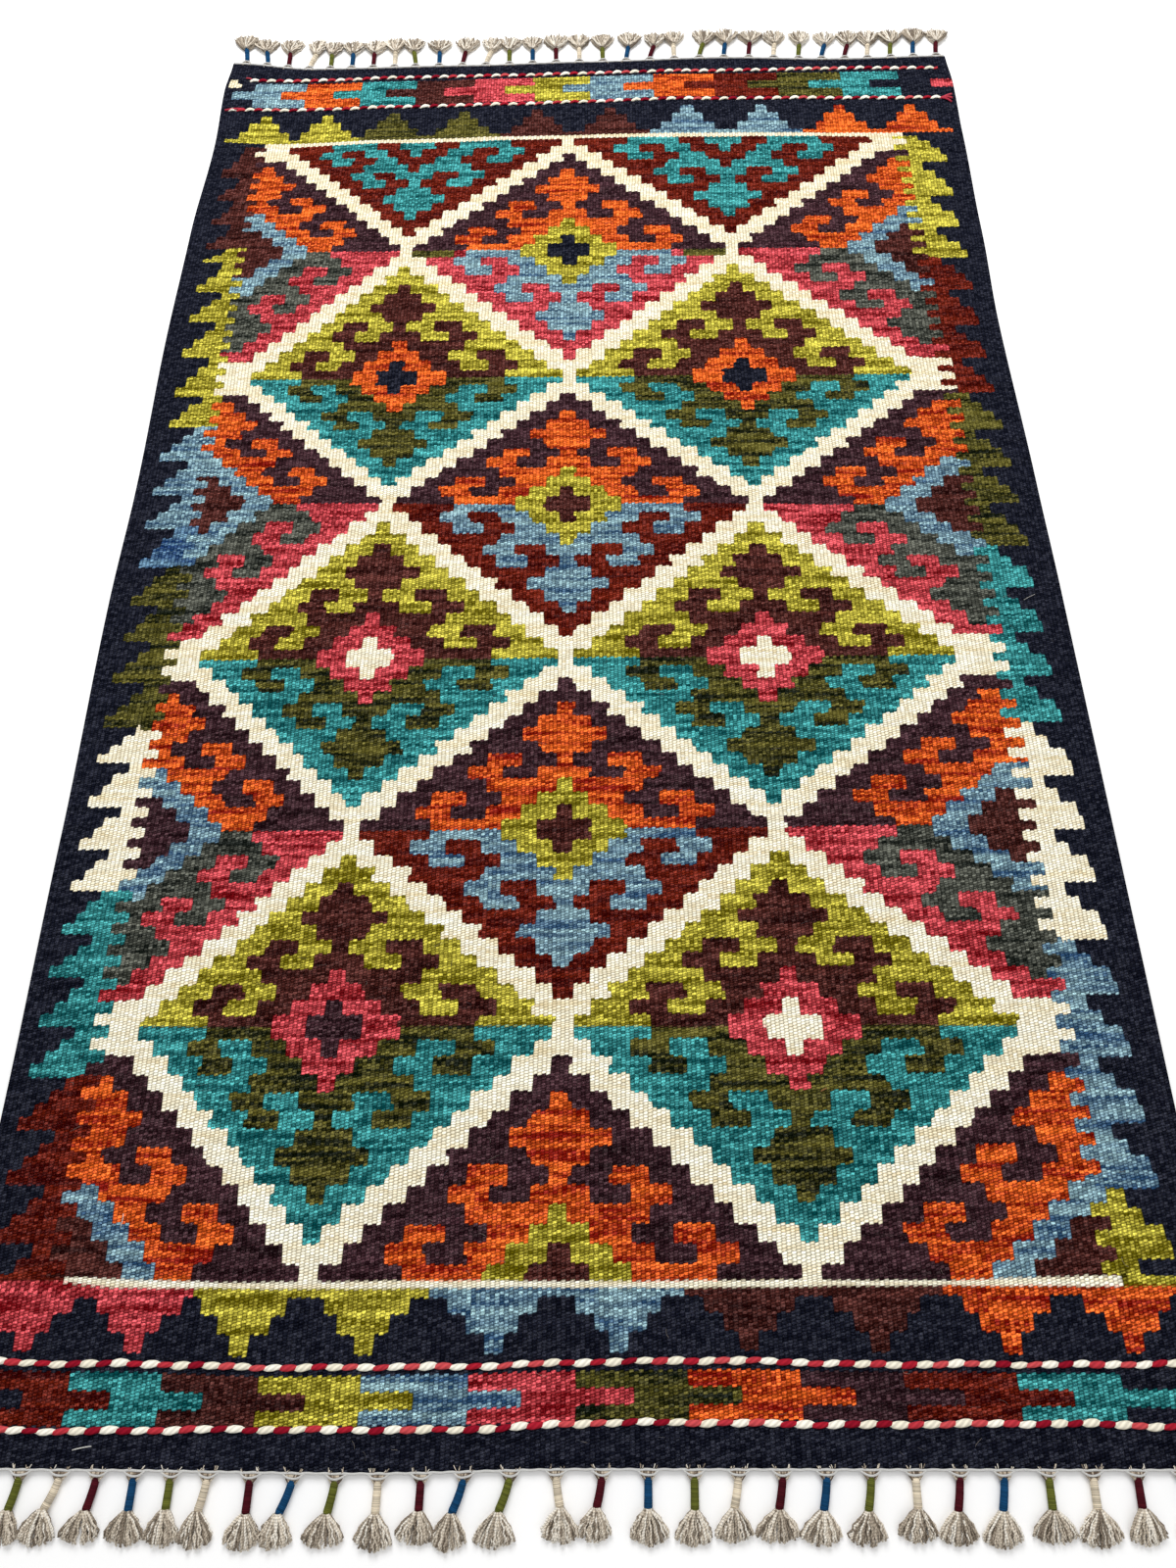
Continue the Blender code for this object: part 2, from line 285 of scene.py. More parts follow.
@dataclass(frozen=True)
class RowPlan:
    """The weave's rows from the near end to the far one, each some picks high.

    Args:
        near_stops: where each part of the near end stops, up to the lattice, and its rows.
        far_stops: the same, from the lattice to the far end.
        lattice_rows: rows of cells between two neck lines, each two rows of faces.
        partial: the height of the first and last of them, beside the others.
        end_partial: the same, at both ends of the lattice.
    """

    near_stops: tuple[tuple[float, int], ...] = (
        (0.0301, 4), (0.0417, 2), (0.0537, 2), (0.0657, 2), (0.0790, 2), (0.0935, 2),
        (0.1060, 2), (0.1186, 2), (0.1248, 1), (0.1320, 1))
    far_stops: tuple[tuple[float, int], ...] = (
        (1.5465, 1), (1.5530, 1), (1.5695, 2), (1.5870, 2), (1.6030, 2), (1.6210, 2),
        (1.6385, 2), (1.6555, 2), (1.6725, 2), (1.7100, 5))
    lattice_rows: int = 14
    partial: float = 0.75
    end_partial: float = 0.85

    def nominal_lines(self) -> list[float]:
        """Lay out the row lines before they wave.

        Returns:
            Each line's distance from the near end, the far end's last.
        """
        lines = [0.0]
        self._add_stops(lines, self.near_stops)
        last = len(NECK_LINES) - 2
        for interval, (low, high) in enumerate(zip(NECK_LINES, NECK_LINES[1:])):
            shares = [1.0] * self.lattice_rows
            shares[0] = self.end_partial if interval == 0 else self.partial
            shares[-1] = self.end_partial if interval == last else self.partial
            unit = (high - low) / sum(shares)
            for share in shares:
                lines.append(lines[-1] + share * unit / 2)
                lines.append(lines[-1] + share * unit / 2)
        self._add_stops(lines, self.far_stops)
        return lines

    @staticmethod
    def _add_stops(lines: list[float], stops: Sequence[tuple[float, int]]) -> None:
        """Add evenly spaced lines up to each stop.

        Args:
            lines: the lines so far, which the new ones are added to.
            stops: each stop's distance from the near end, and how many rows lead to it.
        """
        for stop, count in stops:
            start = lines[-1]
            lines += [start + (stop - start) * (step + 1) / count for step in range(count)]

    @property
    def first_lattice_row(self) -> int:
        """The number of the first row of the lattice."""
        return sum(count for _stop, count in self.near_stops)

    @property
    def first_far_row(self) -> int:
        """The number of the first row past the lattice."""
        return self.first_lattice_row + 2 * self.lattice_rows * (len(NECK_LINES) - 1)


def follow_anchors(across: float, nominal: float) -> float:
    """Where a row line lies at a place across, following the anchors on both sides of it.

    Args:
        across: share of the rug's width from the left edge.
        nominal: the line's distance from the near end before it waves.

    Returns:
        Its distance from the near end's datum there.
    """
    for low, high in zip(ANCHORS, ANCHORS[1:]):
        if nominal <= high.nominal:
            share = (nominal - low.nominal) / (high.nominal - low.nominal)
            start = eased(low.line, across)
            return start + share * (eased(high.line, across) - start)
    return eased(ANCHORS[-1].line, across)


SEED_PHASE = 12.9898    # far from any multiple of a whole turn


@dataclass(frozen=True)
class Ripple:
    """A gentle random wave that is the same on each run.

    Args:
        seed: which wave.
        lengths: the wave lengths that it is made of, in its own units.
        heights: the height of each.
    """

    seed: int
    lengths: tuple[float, ...]
    heights: tuple[float, ...]

    def at(self, place: float, row: float = 0.0) -> float:
        """Read the wave; nearby rows have nearly the same wave.

        Args:
            place: where along the wave.
            row: which row's wave, in any unit.

        Returns:
            The wave's height there.
        """
        total = 0.0
        for number, (length, height) in enumerate(zip(self.lengths, self.heights)):
            phase = SEED_PHASE * (self.seed + number) + row * (0.9 + 0.37 * number)
            total += height * math.sin(math.tau * place / length + phase)
        return total


class Motif(NamedTuple):
    """The four yarns of a half diamond: field, hooks, the heart's rim and the heart."""

    field: Dye
    hook: Dye
    rim: Dye
    heart: Dye

    def pick(self, letter: str) -> Dye:
        """The yarn for a letter of a chart."""
        return {"F": self.field, "H": self.hook, "R": self.rim, "X": self.heart}[letter]


class Diamond(NamedTuple):
    """A whole diamond, its halves above and below its centre line."""

    upper: Motif
    lower: Motif


# One quarter of a diamond, a row of cells for each row of weave, from its middle outward
CENTRE_CHART = (
    "F",
    "FF",
    "HFF",
    "HHFF",
    "HHHFF",
    "HHFFFF",
    "HFFHHFF",
    "HHFFHHFF",
    "RHHHHFFFF",
    "RRHHFFHHFF",
    "XRRHHFFHHFF",
    "XXRRHHHHFFFF",
)
# The half diamonds beside the borders, from two cells outside their middle
SIDE_CHART = (
    "FFF",
    "HHFF",
    "HHHFF",
    "HHHHFF",
    "HHHFFFF",
    "HHFFHHFF",
    "HHHFFHHFF",
    "RRHHHHFFFF",
    "RRRHHFFHHFF",
    "XXRRHHFFHHFF",
    "XXXRRHHHHFFFF",
    "XXXXRRHHFFFFFF",
)
SIDE_START = -2

COLUMN_LINES = (
    (Read(0.13, 0.1030), Read(0.34, 0.0995), Read(0.72, 0.0965), Read(1.11, 0.0965),
     Read(1.32, 0.0925), Read(1.54, 0.0940)),
    (Read(0.13, 0.2760), Read(0.53, 0.2735), Read(0.72, 0.2760), Read(0.92, 0.2778),
     Read(1.11, 0.2750), Read(1.32, 0.2716)),
    (Read(0.13, 0.4768), Read(0.72, 0.4782), Read(1.11, 0.4775), Read(1.54, 0.4743)),
    (Read(0.13, 0.6800), Read(0.53, 0.6790), Read(0.92, 0.6838), Read(1.32, 0.6807)),
    (Read(0.13, 0.8840), Read(0.53, 0.8850), Read(1.32, 0.8850)),
)
CELLS_BETWEEN = 12
OUTER_CELL = 0.0155

_WARM = Motif(Dye.PURPLE, Dye.ORANGE, Dye.LIME, Dye.MAROON)
_BRICK = Motif(Dye.MAHOGANY, Dye.SKY, Dye.LIME, Dye.MAROON)
_SIDE = Diamond(Motif(Dye.PURPLE, Dye.ORANGE, Dye.SKY, Dye.MAROON),
                Motif(Dye.PINK, Dye.SLATE, Dye.SKY, Dye.MAROON))
_SIDE_F = Diamond(_SIDE.upper._replace(heart=Dye.PURPLE), _SIDE.lower._replace(heart=Dye.PURPLE))
_CROWN = Motif(Dye.MAHOGANY, Dye.TEAL, Dye.MAHOGANY, Dye.TEAL)


def _cool(rim: Dye, heart: Dye) -> Diamond:
    """A lime and teal diamond with its own heart."""
    return Diamond(Motif(Dye.LIME, Dye.MAROON, rim, heart), Motif(Dye.TEAL, Dye.OLIVE, rim, heart))


# Each column's diamonds by the number of their centre line, from the near end
DIAMONDS = (
    {0: _SIDE, 2: _SIDE_F, 4: _SIDE, 6: _SIDE},
    {1: _cool(Dye.PINK, Dye.PURPLE), 3: _cool(Dye.PINK, Dye.CREAM),
     5: _cool(Dye.ORANGE, Dye.NAVY), 7: Diamond(_CROWN, _CROWN)},
    {0: Diamond(_WARM, _BRICK), 2: Diamond(_WARM, _BRICK), 4: Diamond(_WARM, _BRICK),
     6: Diamond(_WARM._replace(heart=Dye.NAVY),
                Motif(Dye.PINK, Dye.SKY, Dye.LIME, Dye.NAVY))},
    {1: _cool(Dye.PINK, Dye.CREAM), 3: _cool(Dye.PINK, Dye.CREAM),
     5: _cool(Dye.ORANGE, Dye.NAVY), 7: Diamond(_CROWN, _CROWN)},
    {0: _SIDE, 2: _SIDE, 4: _SIDE, 6: _SIDE},
)


SLIT_RIPPLE = Ripple(5, (0.047, 0.019), (0.0008, 0.0006))


@dataclass(frozen=True)
class Lattice:
    """The stepped diamonds between the side borders.

    Args:
        rows: rows of cells between two neck lines.
        outline_rows: how many of them the cream outline takes at a diamond's tip.
        middle_column: the column whose pink field turns olive in its widest row.
        patch_cell: past which cell it does.
    """

    rows: int = 14
    outline_rows: int = 2
    middle_column: int = 2
    patch_cell: int = 8

    def dye_at(self, across: float, along: float, interval: int, row: int) -> Dye:
        """Find the yarn at a place of the lattice.

        Args:
            across: the weaver's distance from the left edge.
            along: from the near end.
            interval: which two neck lines the place is between, from the near end.
            row: its row of cells up from the lower of the two lines.

        Returns:
            The yarn's dye.
        """
        across += SLIT_RIPPLE.at(along, row * 2.3 + interval)
        middles = [eased(line, along) for line in COLUMN_LINES]
        for column_number, cell in self._cells(across, middles):
            widening_up = column_number % 2 != interval % 2
            centre_line = interval + 1 if widening_up else interval
            reached = row if widening_up else self.rows - 1 - row
            letter = self._letter(column_number, cell, reached - self.outline_rows)
            if letter is None:
                continue
            diamond = DIAMONDS[column_number].get(centre_line)
            if diamond is None:
                return Dye.CREAM
            motif = diamond.lower if widening_up else diamond.upper
            turns_olive = (letter == "F" and motif.field == Dye.PINK
                           and column_number == self.middle_column
                           and reached == self.rows - 1 and abs(cell) > self.patch_cell)
            return Dye.OLIVE if turns_olive else motif.pick(letter)
        return Dye.CREAM

    def _cells(self, across: float, middles: Sequence[float]) -> list[tuple[int, int]]:
        """Number the cell that a place lies in.

        Args:
            across: the weaver's distance from the left edge.
            middles: where the columns' middle lines lie there.

        Returns:
            Each column that the place may belong to, and its cell counted from that column.
        """
        if across < middles[0]:
            return [(0, round((across - middles[0]) / OUTER_CELL))]
        if across >= middles[-1]:
            return [(len(middles) - 1, round((middles[-1] - across) / OUTER_CELL))]
        for left, (low, high) in enumerate(zip(middles, middles[1:])):
            if across < high:
                cells = (across - low) / (high - low) * CELLS_BETWEEN
                near = math.floor(cells + 0.5)
                return [(left, near), (left + 1, CELLS_BETWEEN - near)]
        return []

    def _letter(self, column_number: int, cell: int, chart_row: int) -> str | None:
        """Read the chart at a cell.

        Args:
            column_number: which column of diamonds, from the left.
            cell: counted outward from the column's middle.
            chart_row: counted from the diamond's tip.

        Returns:
            The chart's letter, or None outside the diamond's inside.
        """
        if not 0 <= chart_row < len(CENTRE_CHART) or cell > chart_row:
            return None
        if column_number in (0, len(COLUMN_LINES) - 1):
            return SIDE_CHART[chart_row][max(cell - SIDE_START, 0)]
        return CENTRE_CHART[chart_row][abs(cell)]


class ToothBlock(NamedTuple):
    """A run of teeth in one yarn: where each tooth goes straight back, far to near."""

    dye: Dye
    returns: tuple[float, ...]


@dataclass(frozen=True)
class Border:
    """One side's teeth: four steps outward each, and a comb on their inner side.

    Args:
        mirrored: True on the right, where distances are taken from the right edge.
        start: where the far end's first tooth begins.
        blocks: the teeth, from the far end to the near one.
        steps: how far from the edge each step of a tooth reaches, inner to outer.
        far_base: the innermost step in the far part.
        fingers: how far in the comb's fingers reach.
        notches: how far in its notches reach.
        finger_start: the middle of one finger.
        finger_pitch: from one finger to the next.
        row_stops: distances in where its tooth rows end, the comb's rows begin and end,
            and the lattice's begin.
        row_reads: where across the rug its tooth rows and its comb's rows are fitted.
        far_part: where the far part begins, from the near end.
        finger_half: half a finger's share of the pitch.
    """

    mirrored: bool
    start: float
    blocks: tuple[ToothBlock, ...]
    steps: tuple[float, ...]
    far_base: float
    fingers: tuple[Read, ...]
    notches: tuple[Read, ...]
    finger_start: float
    finger_pitch: float
    row_stops: tuple[float, float, float, float]
    row_reads: tuple[float, float]
    far_part: float = 1.28
    finger_half: float = 0.25

    def inset(self, across: float) -> float:
        """The distance from this side's edge."""
        return WIDTH - across if self.mirrored else across

    def teeth(self) -> list[tuple[float, float, Dye]]:
        """List the teeth.

        Returns:
            Each tooth's far end, near end and yarn, from the far one.
        """
        found = []
        top = self.start
        for block in self.blocks:
            for bottom in block.returns:
                found.append((top, bottom, block.dye))
                top = bottom
        return found

    def step_lines(self) -> list[float]:
        """Where the teeth step, in order from the near end."""
        shares = [step / len(self.steps) for step in range(len(self.steps))]
        return sorted(top + (bottom - top) * share
                      for top, bottom, _dye in self.teeth() for share in shares)

    def finger_lines(self) -> list[float]:
        """Find where the comb's fingers begin and end.

        Returns:
            Distances from the near end, in order.
        """
        lines = []
        place = self.finger_start - self.finger_pitch / 4
        while place > NECK_LINES[0]:
            place -= self.finger_pitch / 2
        while place < self.start:
            place += self.finger_pitch / 2
            if NECK_LINES[0] < place < self.start:
                lines.append(place)
        return lines

    def dye_at(self, across: float, along: float) -> Dye | None:
        """Find the yarn at a place of the border.

        Args:
            across: the weaver's distance from the left edge.
            along: from the near end.

        Returns:
            The yarn's dye, or None where the lattice goes on.
        """
        inset = self.inset(across)
        turn = (along - self.finger_start) / self.finger_pitch
        finger = abs(turn - round(turn)) < self.finger_half
        if inset > eased(self.fingers if finger else self.notches, along):
            return None
        for top, bottom, dye in self.teeth():
            if along > bottom or bottom == self.blocks[-1].returns[-1]:
                if along > top:
                    return Dye.NAVY
                count = len(self.steps)
                step = min(count - 1, int(count * (top - along) / (top - bottom)))
                far_step = step == 0 and along > self.far_part
                reach = self.far_base if far_step else self.steps[step]
                return dye if inset > reach else Dye.NAVY
        return Dye.NAVY


LEFT_BORDER = Border(
    False, 1.5330,
    (ToothBlock(Dye.MAROON, (1.469, 1.423, 1.378, 1.332)),
     ToothBlock(Dye.LIME, (1.309, 1.255, 1.204, 1.144, 1.081, 1.035)),
     ToothBlock(Dye.SKY, (0.984, 0.935, 0.888)),
     ToothBlock(Dye.DEEP_SKY, (0.836,)),
     ToothBlock(Dye.OLIVE, (0.787, 0.741, 0.691, 0.640)),
     ToothBlock(Dye.CREAM, (0.599, 0.551, 0.507, 0.465)),
     ToothBlock(Dye.TEAL, (0.422, 0.382, 0.337, 0.2925)),
     ToothBlock(Dye.MAHOGANY, (0.248, 0.204, 0.158, 0.113))),
    (0.050, 0.038, 0.028, 0.017), 0.042,
    (Read(0.13, 0.0810), Read(0.72, 0.0775), Read(1.50, 0.0700)),
    (Read(0.13, 0.0660), Read(0.72, 0.0640), Read(1.50, 0.0580)),
    0.6305, 0.0213, (0.054, 0.0595, 0.086, 0.0960), (0.03, 0.07))
RIGHT_BORDER = Border(
    True, 1.5415,
    (ToothBlock(Dye.LIME, (1.485, 1.418, 1.359, 1.303)),
     ToothBlock(Dye.MAHOGANY, (1.247, 1.186, 1.132, 1.077)),
     ToothBlock(Dye.OLIVE, (1.021, 0.966, 0.915, 0.857)),
     ToothBlock(Dye.TEAL, (0.8025, 0.746, 0.693, 0.6395)),
     ToothBlock(Dye.CREAM, (0.581, 0.523, 0.470, 0.414)),
     ToothBlock(Dye.SKY, (0.363, 0.308, 0.252, 0.199)),
     ToothBlock(Dye.LIME, (0.146, 0.097))),
    (0.061, 0.048, 0.036, 0.029), 0.061,
    (Read(0.13, 0.0915), Read(1.00, 0.0880), Read(1.40, 0.0950)),
    (Read(0.13, 0.0755), Read(1.00, 0.0720), Read(1.40, 0.0780)),
    0.6276, 0.0222, (0.063, 0.0700, 0.097, 0.1060), (0.96, 0.92))


class Pyramid(NamedTuple):
    """A stepped pyramid at an end: its middle and its yarn."""

    middle: float
    dye: Dye


class Change(NamedTuple):
    """Where a band's yarn begins: in its outer rows, and in its middle row."""

    dye: Dye
    outer: float
    middle: float


class Patch(NamedTuple):
    """A small mend in another yarn, in some rows of an end."""

    dye: Dye
    start: float
    end: float
    first_row: int
    last_row: int


class PartKind(Enum):
    """What a row of weave past the lattice shows."""

    PLAIN = 0
    BAND_OUTER = 1
    BAND_MIDDLE = 2
    TIP = 3
    HIGH_STEP = 4
    LOW_STEP = 5
    BASE = 6
    LINE = 7


STEP_WIDTHS = {PartKind.TIP: 0.0155, PartKind.HIGH_STEP: 0.0415, PartKind.LOW_STEP: 0.0690}


@dataclass(frozen=True)
class EndPattern:
    """The band of fingers, the pyramids and the cream line of one end.

    Args:
        rows: what each row shows, from the near one.
        pyramids: from the left edge.
        changes: the band's yarns from the left edge.
        line_start: where the cream line begins.
        line_end: where it ends.
        before_line: the yarn left of it.
        after_line: the yarn right of it.
        patches: small mends.
        base_half: half the width of a pyramid's base.
    """

    rows: tuple[PartKind, ...]
    pyramids: tuple[Pyramid, ...]
    changes: tuple[Change, ...]
    line_start: float
    line_end: float
    before_line: Dye
    after_line: Dye
    patches: tuple[Patch, ...] = ()
    base_half: float = 0.052

    def dye_at(self, across: float, row: int) -> Dye:
        """Find the yarn at a place of this end.

        Args:
            across: the weaver's distance from the left edge.
            row: the end's row, from the near one.

        Returns:
            The yarn's dye.
        """
        for patch in self.patches:
            if patch.start < across < patch.end and patch.first_row <= row <= patch.last_row:
                return patch.dye
        kind = self.rows[row]
        if kind is PartKind.PLAIN:
            return Dye.NAVY
        if kind is PartKind.LINE:
            if across < self.line_start:
                return self.before_line
            return self.after_line if across > self.line_end else Dye.CREAM
        if kind in (PartKind.BAND_OUTER, PartKind.BAND_MIDDLE):
            found = Dye.NAVY
            for change in self.changes:
                place = change.outer if kind is PartKind.BAND_OUTER else change.middle
                if across > place:
                    found = change.dye
            return found
        nearest = min(self.pyramids, key=lambda pyramid: abs(across - pyramid.middle))
        half = self.base_half if kind is PartKind.BASE else STEP_WIDTHS[kind] / 2
        return nearest.dye if abs(across - nearest.middle) < half else Dye.NAVY


_BAND = (PartKind.BAND_OUTER,) * 2 + (PartKind.BAND_MIDDLE,) * 2 + (PartKind.BAND_OUTER,) * 2
_STEPS = (PartKind.TIP,) * 2 + (PartKind.HIGH_STEP,) * 2 + (PartKind.LOW_STEP,) * 2
NEAR_PATTERN = EndPattern(
    (PartKind.PLAIN,) * 4 + _BAND + (PartKind.PLAIN,) * 2 + _STEPS
    + (PartKind.BASE, PartKind.LINE),
    (Pyramid(0.056, Dye.PINK), Pyramid(0.143, Dye.PINK), Pyramid(0.228, Dye.LIME),
     Pyramid(0.324, Dye.LIME), Pyramid(0.4255, Dye.SKY), Pyramid(0.526, Dye.SKY),
     Pyramid(0.628, Dye.MAROON), Pyramid(0.729, Dye.MAROON), Pyramid(0.830, Dye.ORANGE),
     Pyramid(0.925, Dye.ORANGE)),
    (Change(Dye.MAHOGANY, 0.040, 0.065), Change(Dye.TEAL, 0.099, 0.134),
     Change(Dye.MAROON, 0.172, 0.206), Change(Dye.LIME, 0.245, 0.2835),
     Change(Dye.SKY, 0.3245, 0.366), Change(Dye.PINK, 0.409, 0.449),
     Change(Dye.OLIVE, 0.490, 0.535), Change(Dye.ORANGE, 0.579, 0.619),
     Change(Dye.PURPLE, 0.664, 0.705), Change(Dye.MAHOGANY, 0.744, 0.787),
     Change(Dye.TEAL, 0.830, 0.871), Change(Dye.NAVY, 0.909, 0.990)),
    0.079, 0.9235, Dye.MAHOGANY, Dye.LIME)
FAR_PATTERN = EndPattern(
    (PartKind.LINE, PartKind.BASE) + tuple(reversed(_STEPS)) + (PartKind.PLAIN,) * 2 + _BAND
    + (PartKind.PLAIN,) * 5,
    (Pyramid(0.063, Dye.LIME), Pyramid(0.147, Dye.LIME), Pyramid(0.236, Dye.OLIVE),
     Pyramid(0.331, Dye.OLIVE), Pyramid(0.432, Dye.MAROON), Pyramid(0.530, Dye.MAROON),
     Pyramid(0.634, Dye.SKY), Pyramid(0.735, Dye.SKY), Pyramid(0.840, Dye.ORANGE),
     Pyramid(0.936, Dye.ORANGE)),
    (Change(Dye.SKY, 0.040, 0.007), Change(Dye.ORANGE, 0.112, 0.076),
     Change(Dye.TEAL, 0.186, 0.149), Change(Dye.MAROON, 0.263, 0.223),
     Change(Dye.PINK, 0.345, 0.303), Change(Dye.LIME, 0.425, 0.386),
     Change(Dye.SKY, 0.5045, 0.466), Change(Dye.ORANGE, 0.592, 0.548),
     Change(Dye.MAHOGANY, 0.675, 0.632), Change(Dye.OLIVE, 0.762, 0.720),
     Change(Dye.TEAL, 0.847, 0.805), Change(Dye.NAVY, 0.9275, 0.888)),
    0.068, 0.921, Dye.NAVY, Dye.NAVY,
    (Patch(Dye.CREAM, 0.003, 0.014, 15, 16), Patch(Dye.CREAM, 0.003, 0.020, 15, 15),
     Patch(Dye.PINK, 0.972, 1.010, 12, 13)))


class SocketKind(str, Enum):
    """Kinds of socket that the shared groups have."""

    FLOAT = "NodeSocketFloat"
    COLOR = "NodeSocketColor"
    VECTOR = "NodeSocketVector"


Value = float | Socket
Sockets = dict[str, SocketKind]


class Graph:
    """A shader node tree while it is being built, a node at a time.

    Args:
        tree: the node tree that the nodes go into.
    """

    def __init__(self, tree: NodeTree) -> None:
        """Take the tree."""
        self.tree = tree
        self.entry: Node | None = None
        self.exit: Node | None = None

    @classmethod
    def group(cls, name: str, inputs: Sockets, outputs: Sockets) -> "Graph":
        """Start a node group with its sockets.

        Args:
            name: the group's name.
            inputs: the sockets that it reads.
            outputs: the sockets that it puts out.

        Returns:
            The group's graph, with its entry and exit nodes.
        """
        tree = bpy.data.node_groups.new(name, "ShaderNodeTree")
        for way, sockets in (("INPUT", inputs), ("OUTPUT", outputs)):
            for socket, kind in sockets.items():
                tree.interface.new_socket(socket, in_out=way, socket_type=kind.value)
        made = cls(tree)
        made.entry = made.node("NodeGroupInput")
        made.exit = made.node("NodeGroupOutput")
        return made

    def node(self, kind: str, **settings: object) -> Node:
        """Add a node.

        Args:
            kind: Blender's name for the node's type.
            **settings: the node's properties.

        Returns:
            The node.
        """
        made = self.tree.nodes.new(kind)
        for name, value in settings.items():
            setattr(made, name, value)
        return made

    def join(self, value: Value, socket: Socket) -> None:
        """Feed a socket from another, or give it a constant.

        Args:
            value: the other socket, or the constant.
            socket: the socket to feed.
        """
        if isinstance(value, Socket):
            self.tree.links.new(value, socket)
        else:
            socket.default_value = value

    def fed(self, kind: str, values: Sequence[Value], **settings: object) -> Node:
        """Add a node and feed its first sockets.

        Args:
            kind: Blender's name for the node's type.
            values: what the sockets are fed, in order.
            **settings: the node's properties.

        Returns:
            The node.
        """
        made = self.node(kind, **settings)
        for value, socket in zip(values, made.inputs):
            self.join(value, socket)
        return made

    def math(self, operation: str, *values: Value, clamp: bool = False) -> Socket:
        """Add a math node over its values."""
        return self.fed("ShaderNodeMath", values, operation=operation, use_clamp=clamp).outputs[0]

    def plus(self, first: Value, second: Value, clamp: bool = False) -> Socket:
        """Add two values."""
        return self.math("ADD", first, second, clamp=clamp)

    def minus(self, first: Value, second: Value, clamp: bool = False) -> Socket:
        """Take the second value from the first."""
        return self.math("SUBTRACT", first, second, clamp=clamp)

    def times(self, first: Value, second: Value) -> Socket:
        """Multiply two values."""
        return self.math("MULTIPLY", first, second)

    def line(self, value: Value, slope: Value, start: Value) -> Socket:
        """Multiply a value by a slope and add a start."""
        return self.math("MULTIPLY_ADD", value, slope, start)

    def swing(self, noise: Socket, size: float) -> Socket:
        """Centre a noise on zero and set how far it swings."""
        return self.times(self.minus(noise, 0.5), size)

    def vector(self, x: Value, y: Value, z: Value = 0.0) -> Socket:
        """Put three values together as a vector."""
        return self.fed("ShaderNodeCombineXYZ", (x, y, z)).outputs[0]

    def parts(self, vector: Socket) -> Sequence[Socket]:
        """Take a vector apart."""
        return self.fed("ShaderNodeSeparateXYZ", (vector,)).outputs

    def noise(self, place: Socket, scale: float, detail: float = 1.0,
              rough: float = 0.5) -> Socket:
        """Add smooth noise, about 0.5.

        Args:
            place: where it is read.
            scale: how many waves there are to each unit of the place.
            detail: how many finer waves are added.
            rough: how strong these are.

        Returns:
            The noise's socket.
        """
        made = self.node("ShaderNodeTexNoise")
        self.join(place, made.inputs["Vector"])
        made.inputs["Scale"].default_value = scale
        made.inputs["Detail"].default_value = detail
        made.inputs["Roughness"].default_value = rough
        return made.outputs["Fac"]

    def chance(self, place: Socket) -> Socket:
        """Add a random value from 0 to 1 for each whole place."""
        made = self.fed("ShaderNodeTexWhiteNoise", (place,), noise_dimensions="3D")
        return made.outputs["Value"]

    def blend(self, share: Value, first: Value, second: Value) -> Socket:
        """Mix two colours.

        Args:
            share: how much of the second one there is.
            first: a colour.
            second: another.

        Returns:
            The mixed colour's socket.
        """
        made = self.node("ShaderNodeMix", data_type="RGBA")
        self.join(share, made.inputs["Factor"])
        self.join(first, made.inputs[6])
        self.join(second, made.inputs[7])
        return made.outputs[2]

    def shade(self, color: Value, factor: Value) -> Socket:
        """Multiply a colour by a grey value.

        Args:
            color: the colour.
            factor: the grey value.

        Returns:
            The shaded colour's socket.
        """
        made = self.fed("ShaderNodeVectorMath", (color,), operation="SCALE")
        self.join(factor, made.inputs["Scale"])
        return made.outputs[0]

    def steps(self, at: Value, colors: Sequence[tuple[float, ...]]) -> Socket:
        """Look a colour up in a list.

        Args:
            at: its number over DYE_STEPS.
            colors: the list.

        Returns:
            The found colour's socket.
        """
        made = self.node("ShaderNodeValToRGB")
        made.color_ramp.interpolation = "CONSTANT"
        elements = made.color_ramp.elements
        elements[0].position, elements[1].position = 0.0, 1.0 / DYE_STEPS
        while len(elements) < len(colors):
            elements.new(len(elements) / DYE_STEPS)
        for element, color in zip(elements, colors):
            element.color = color
        self.join(at, made.inputs[0])
        return made.outputs[0]

    def use(self, group: NodeTree, **values: Value) -> Node:
        """Add a shared group and feed its sockets.

        Args:
            group: the group's tree.
            **values: what each of its sockets is fed.

        Returns:
            The group's node.
        """
        made = self.node("ShaderNodeGroup", node_tree=group)
        for name, value in values.items():
            self.join(value, made.inputs[name])
        return made


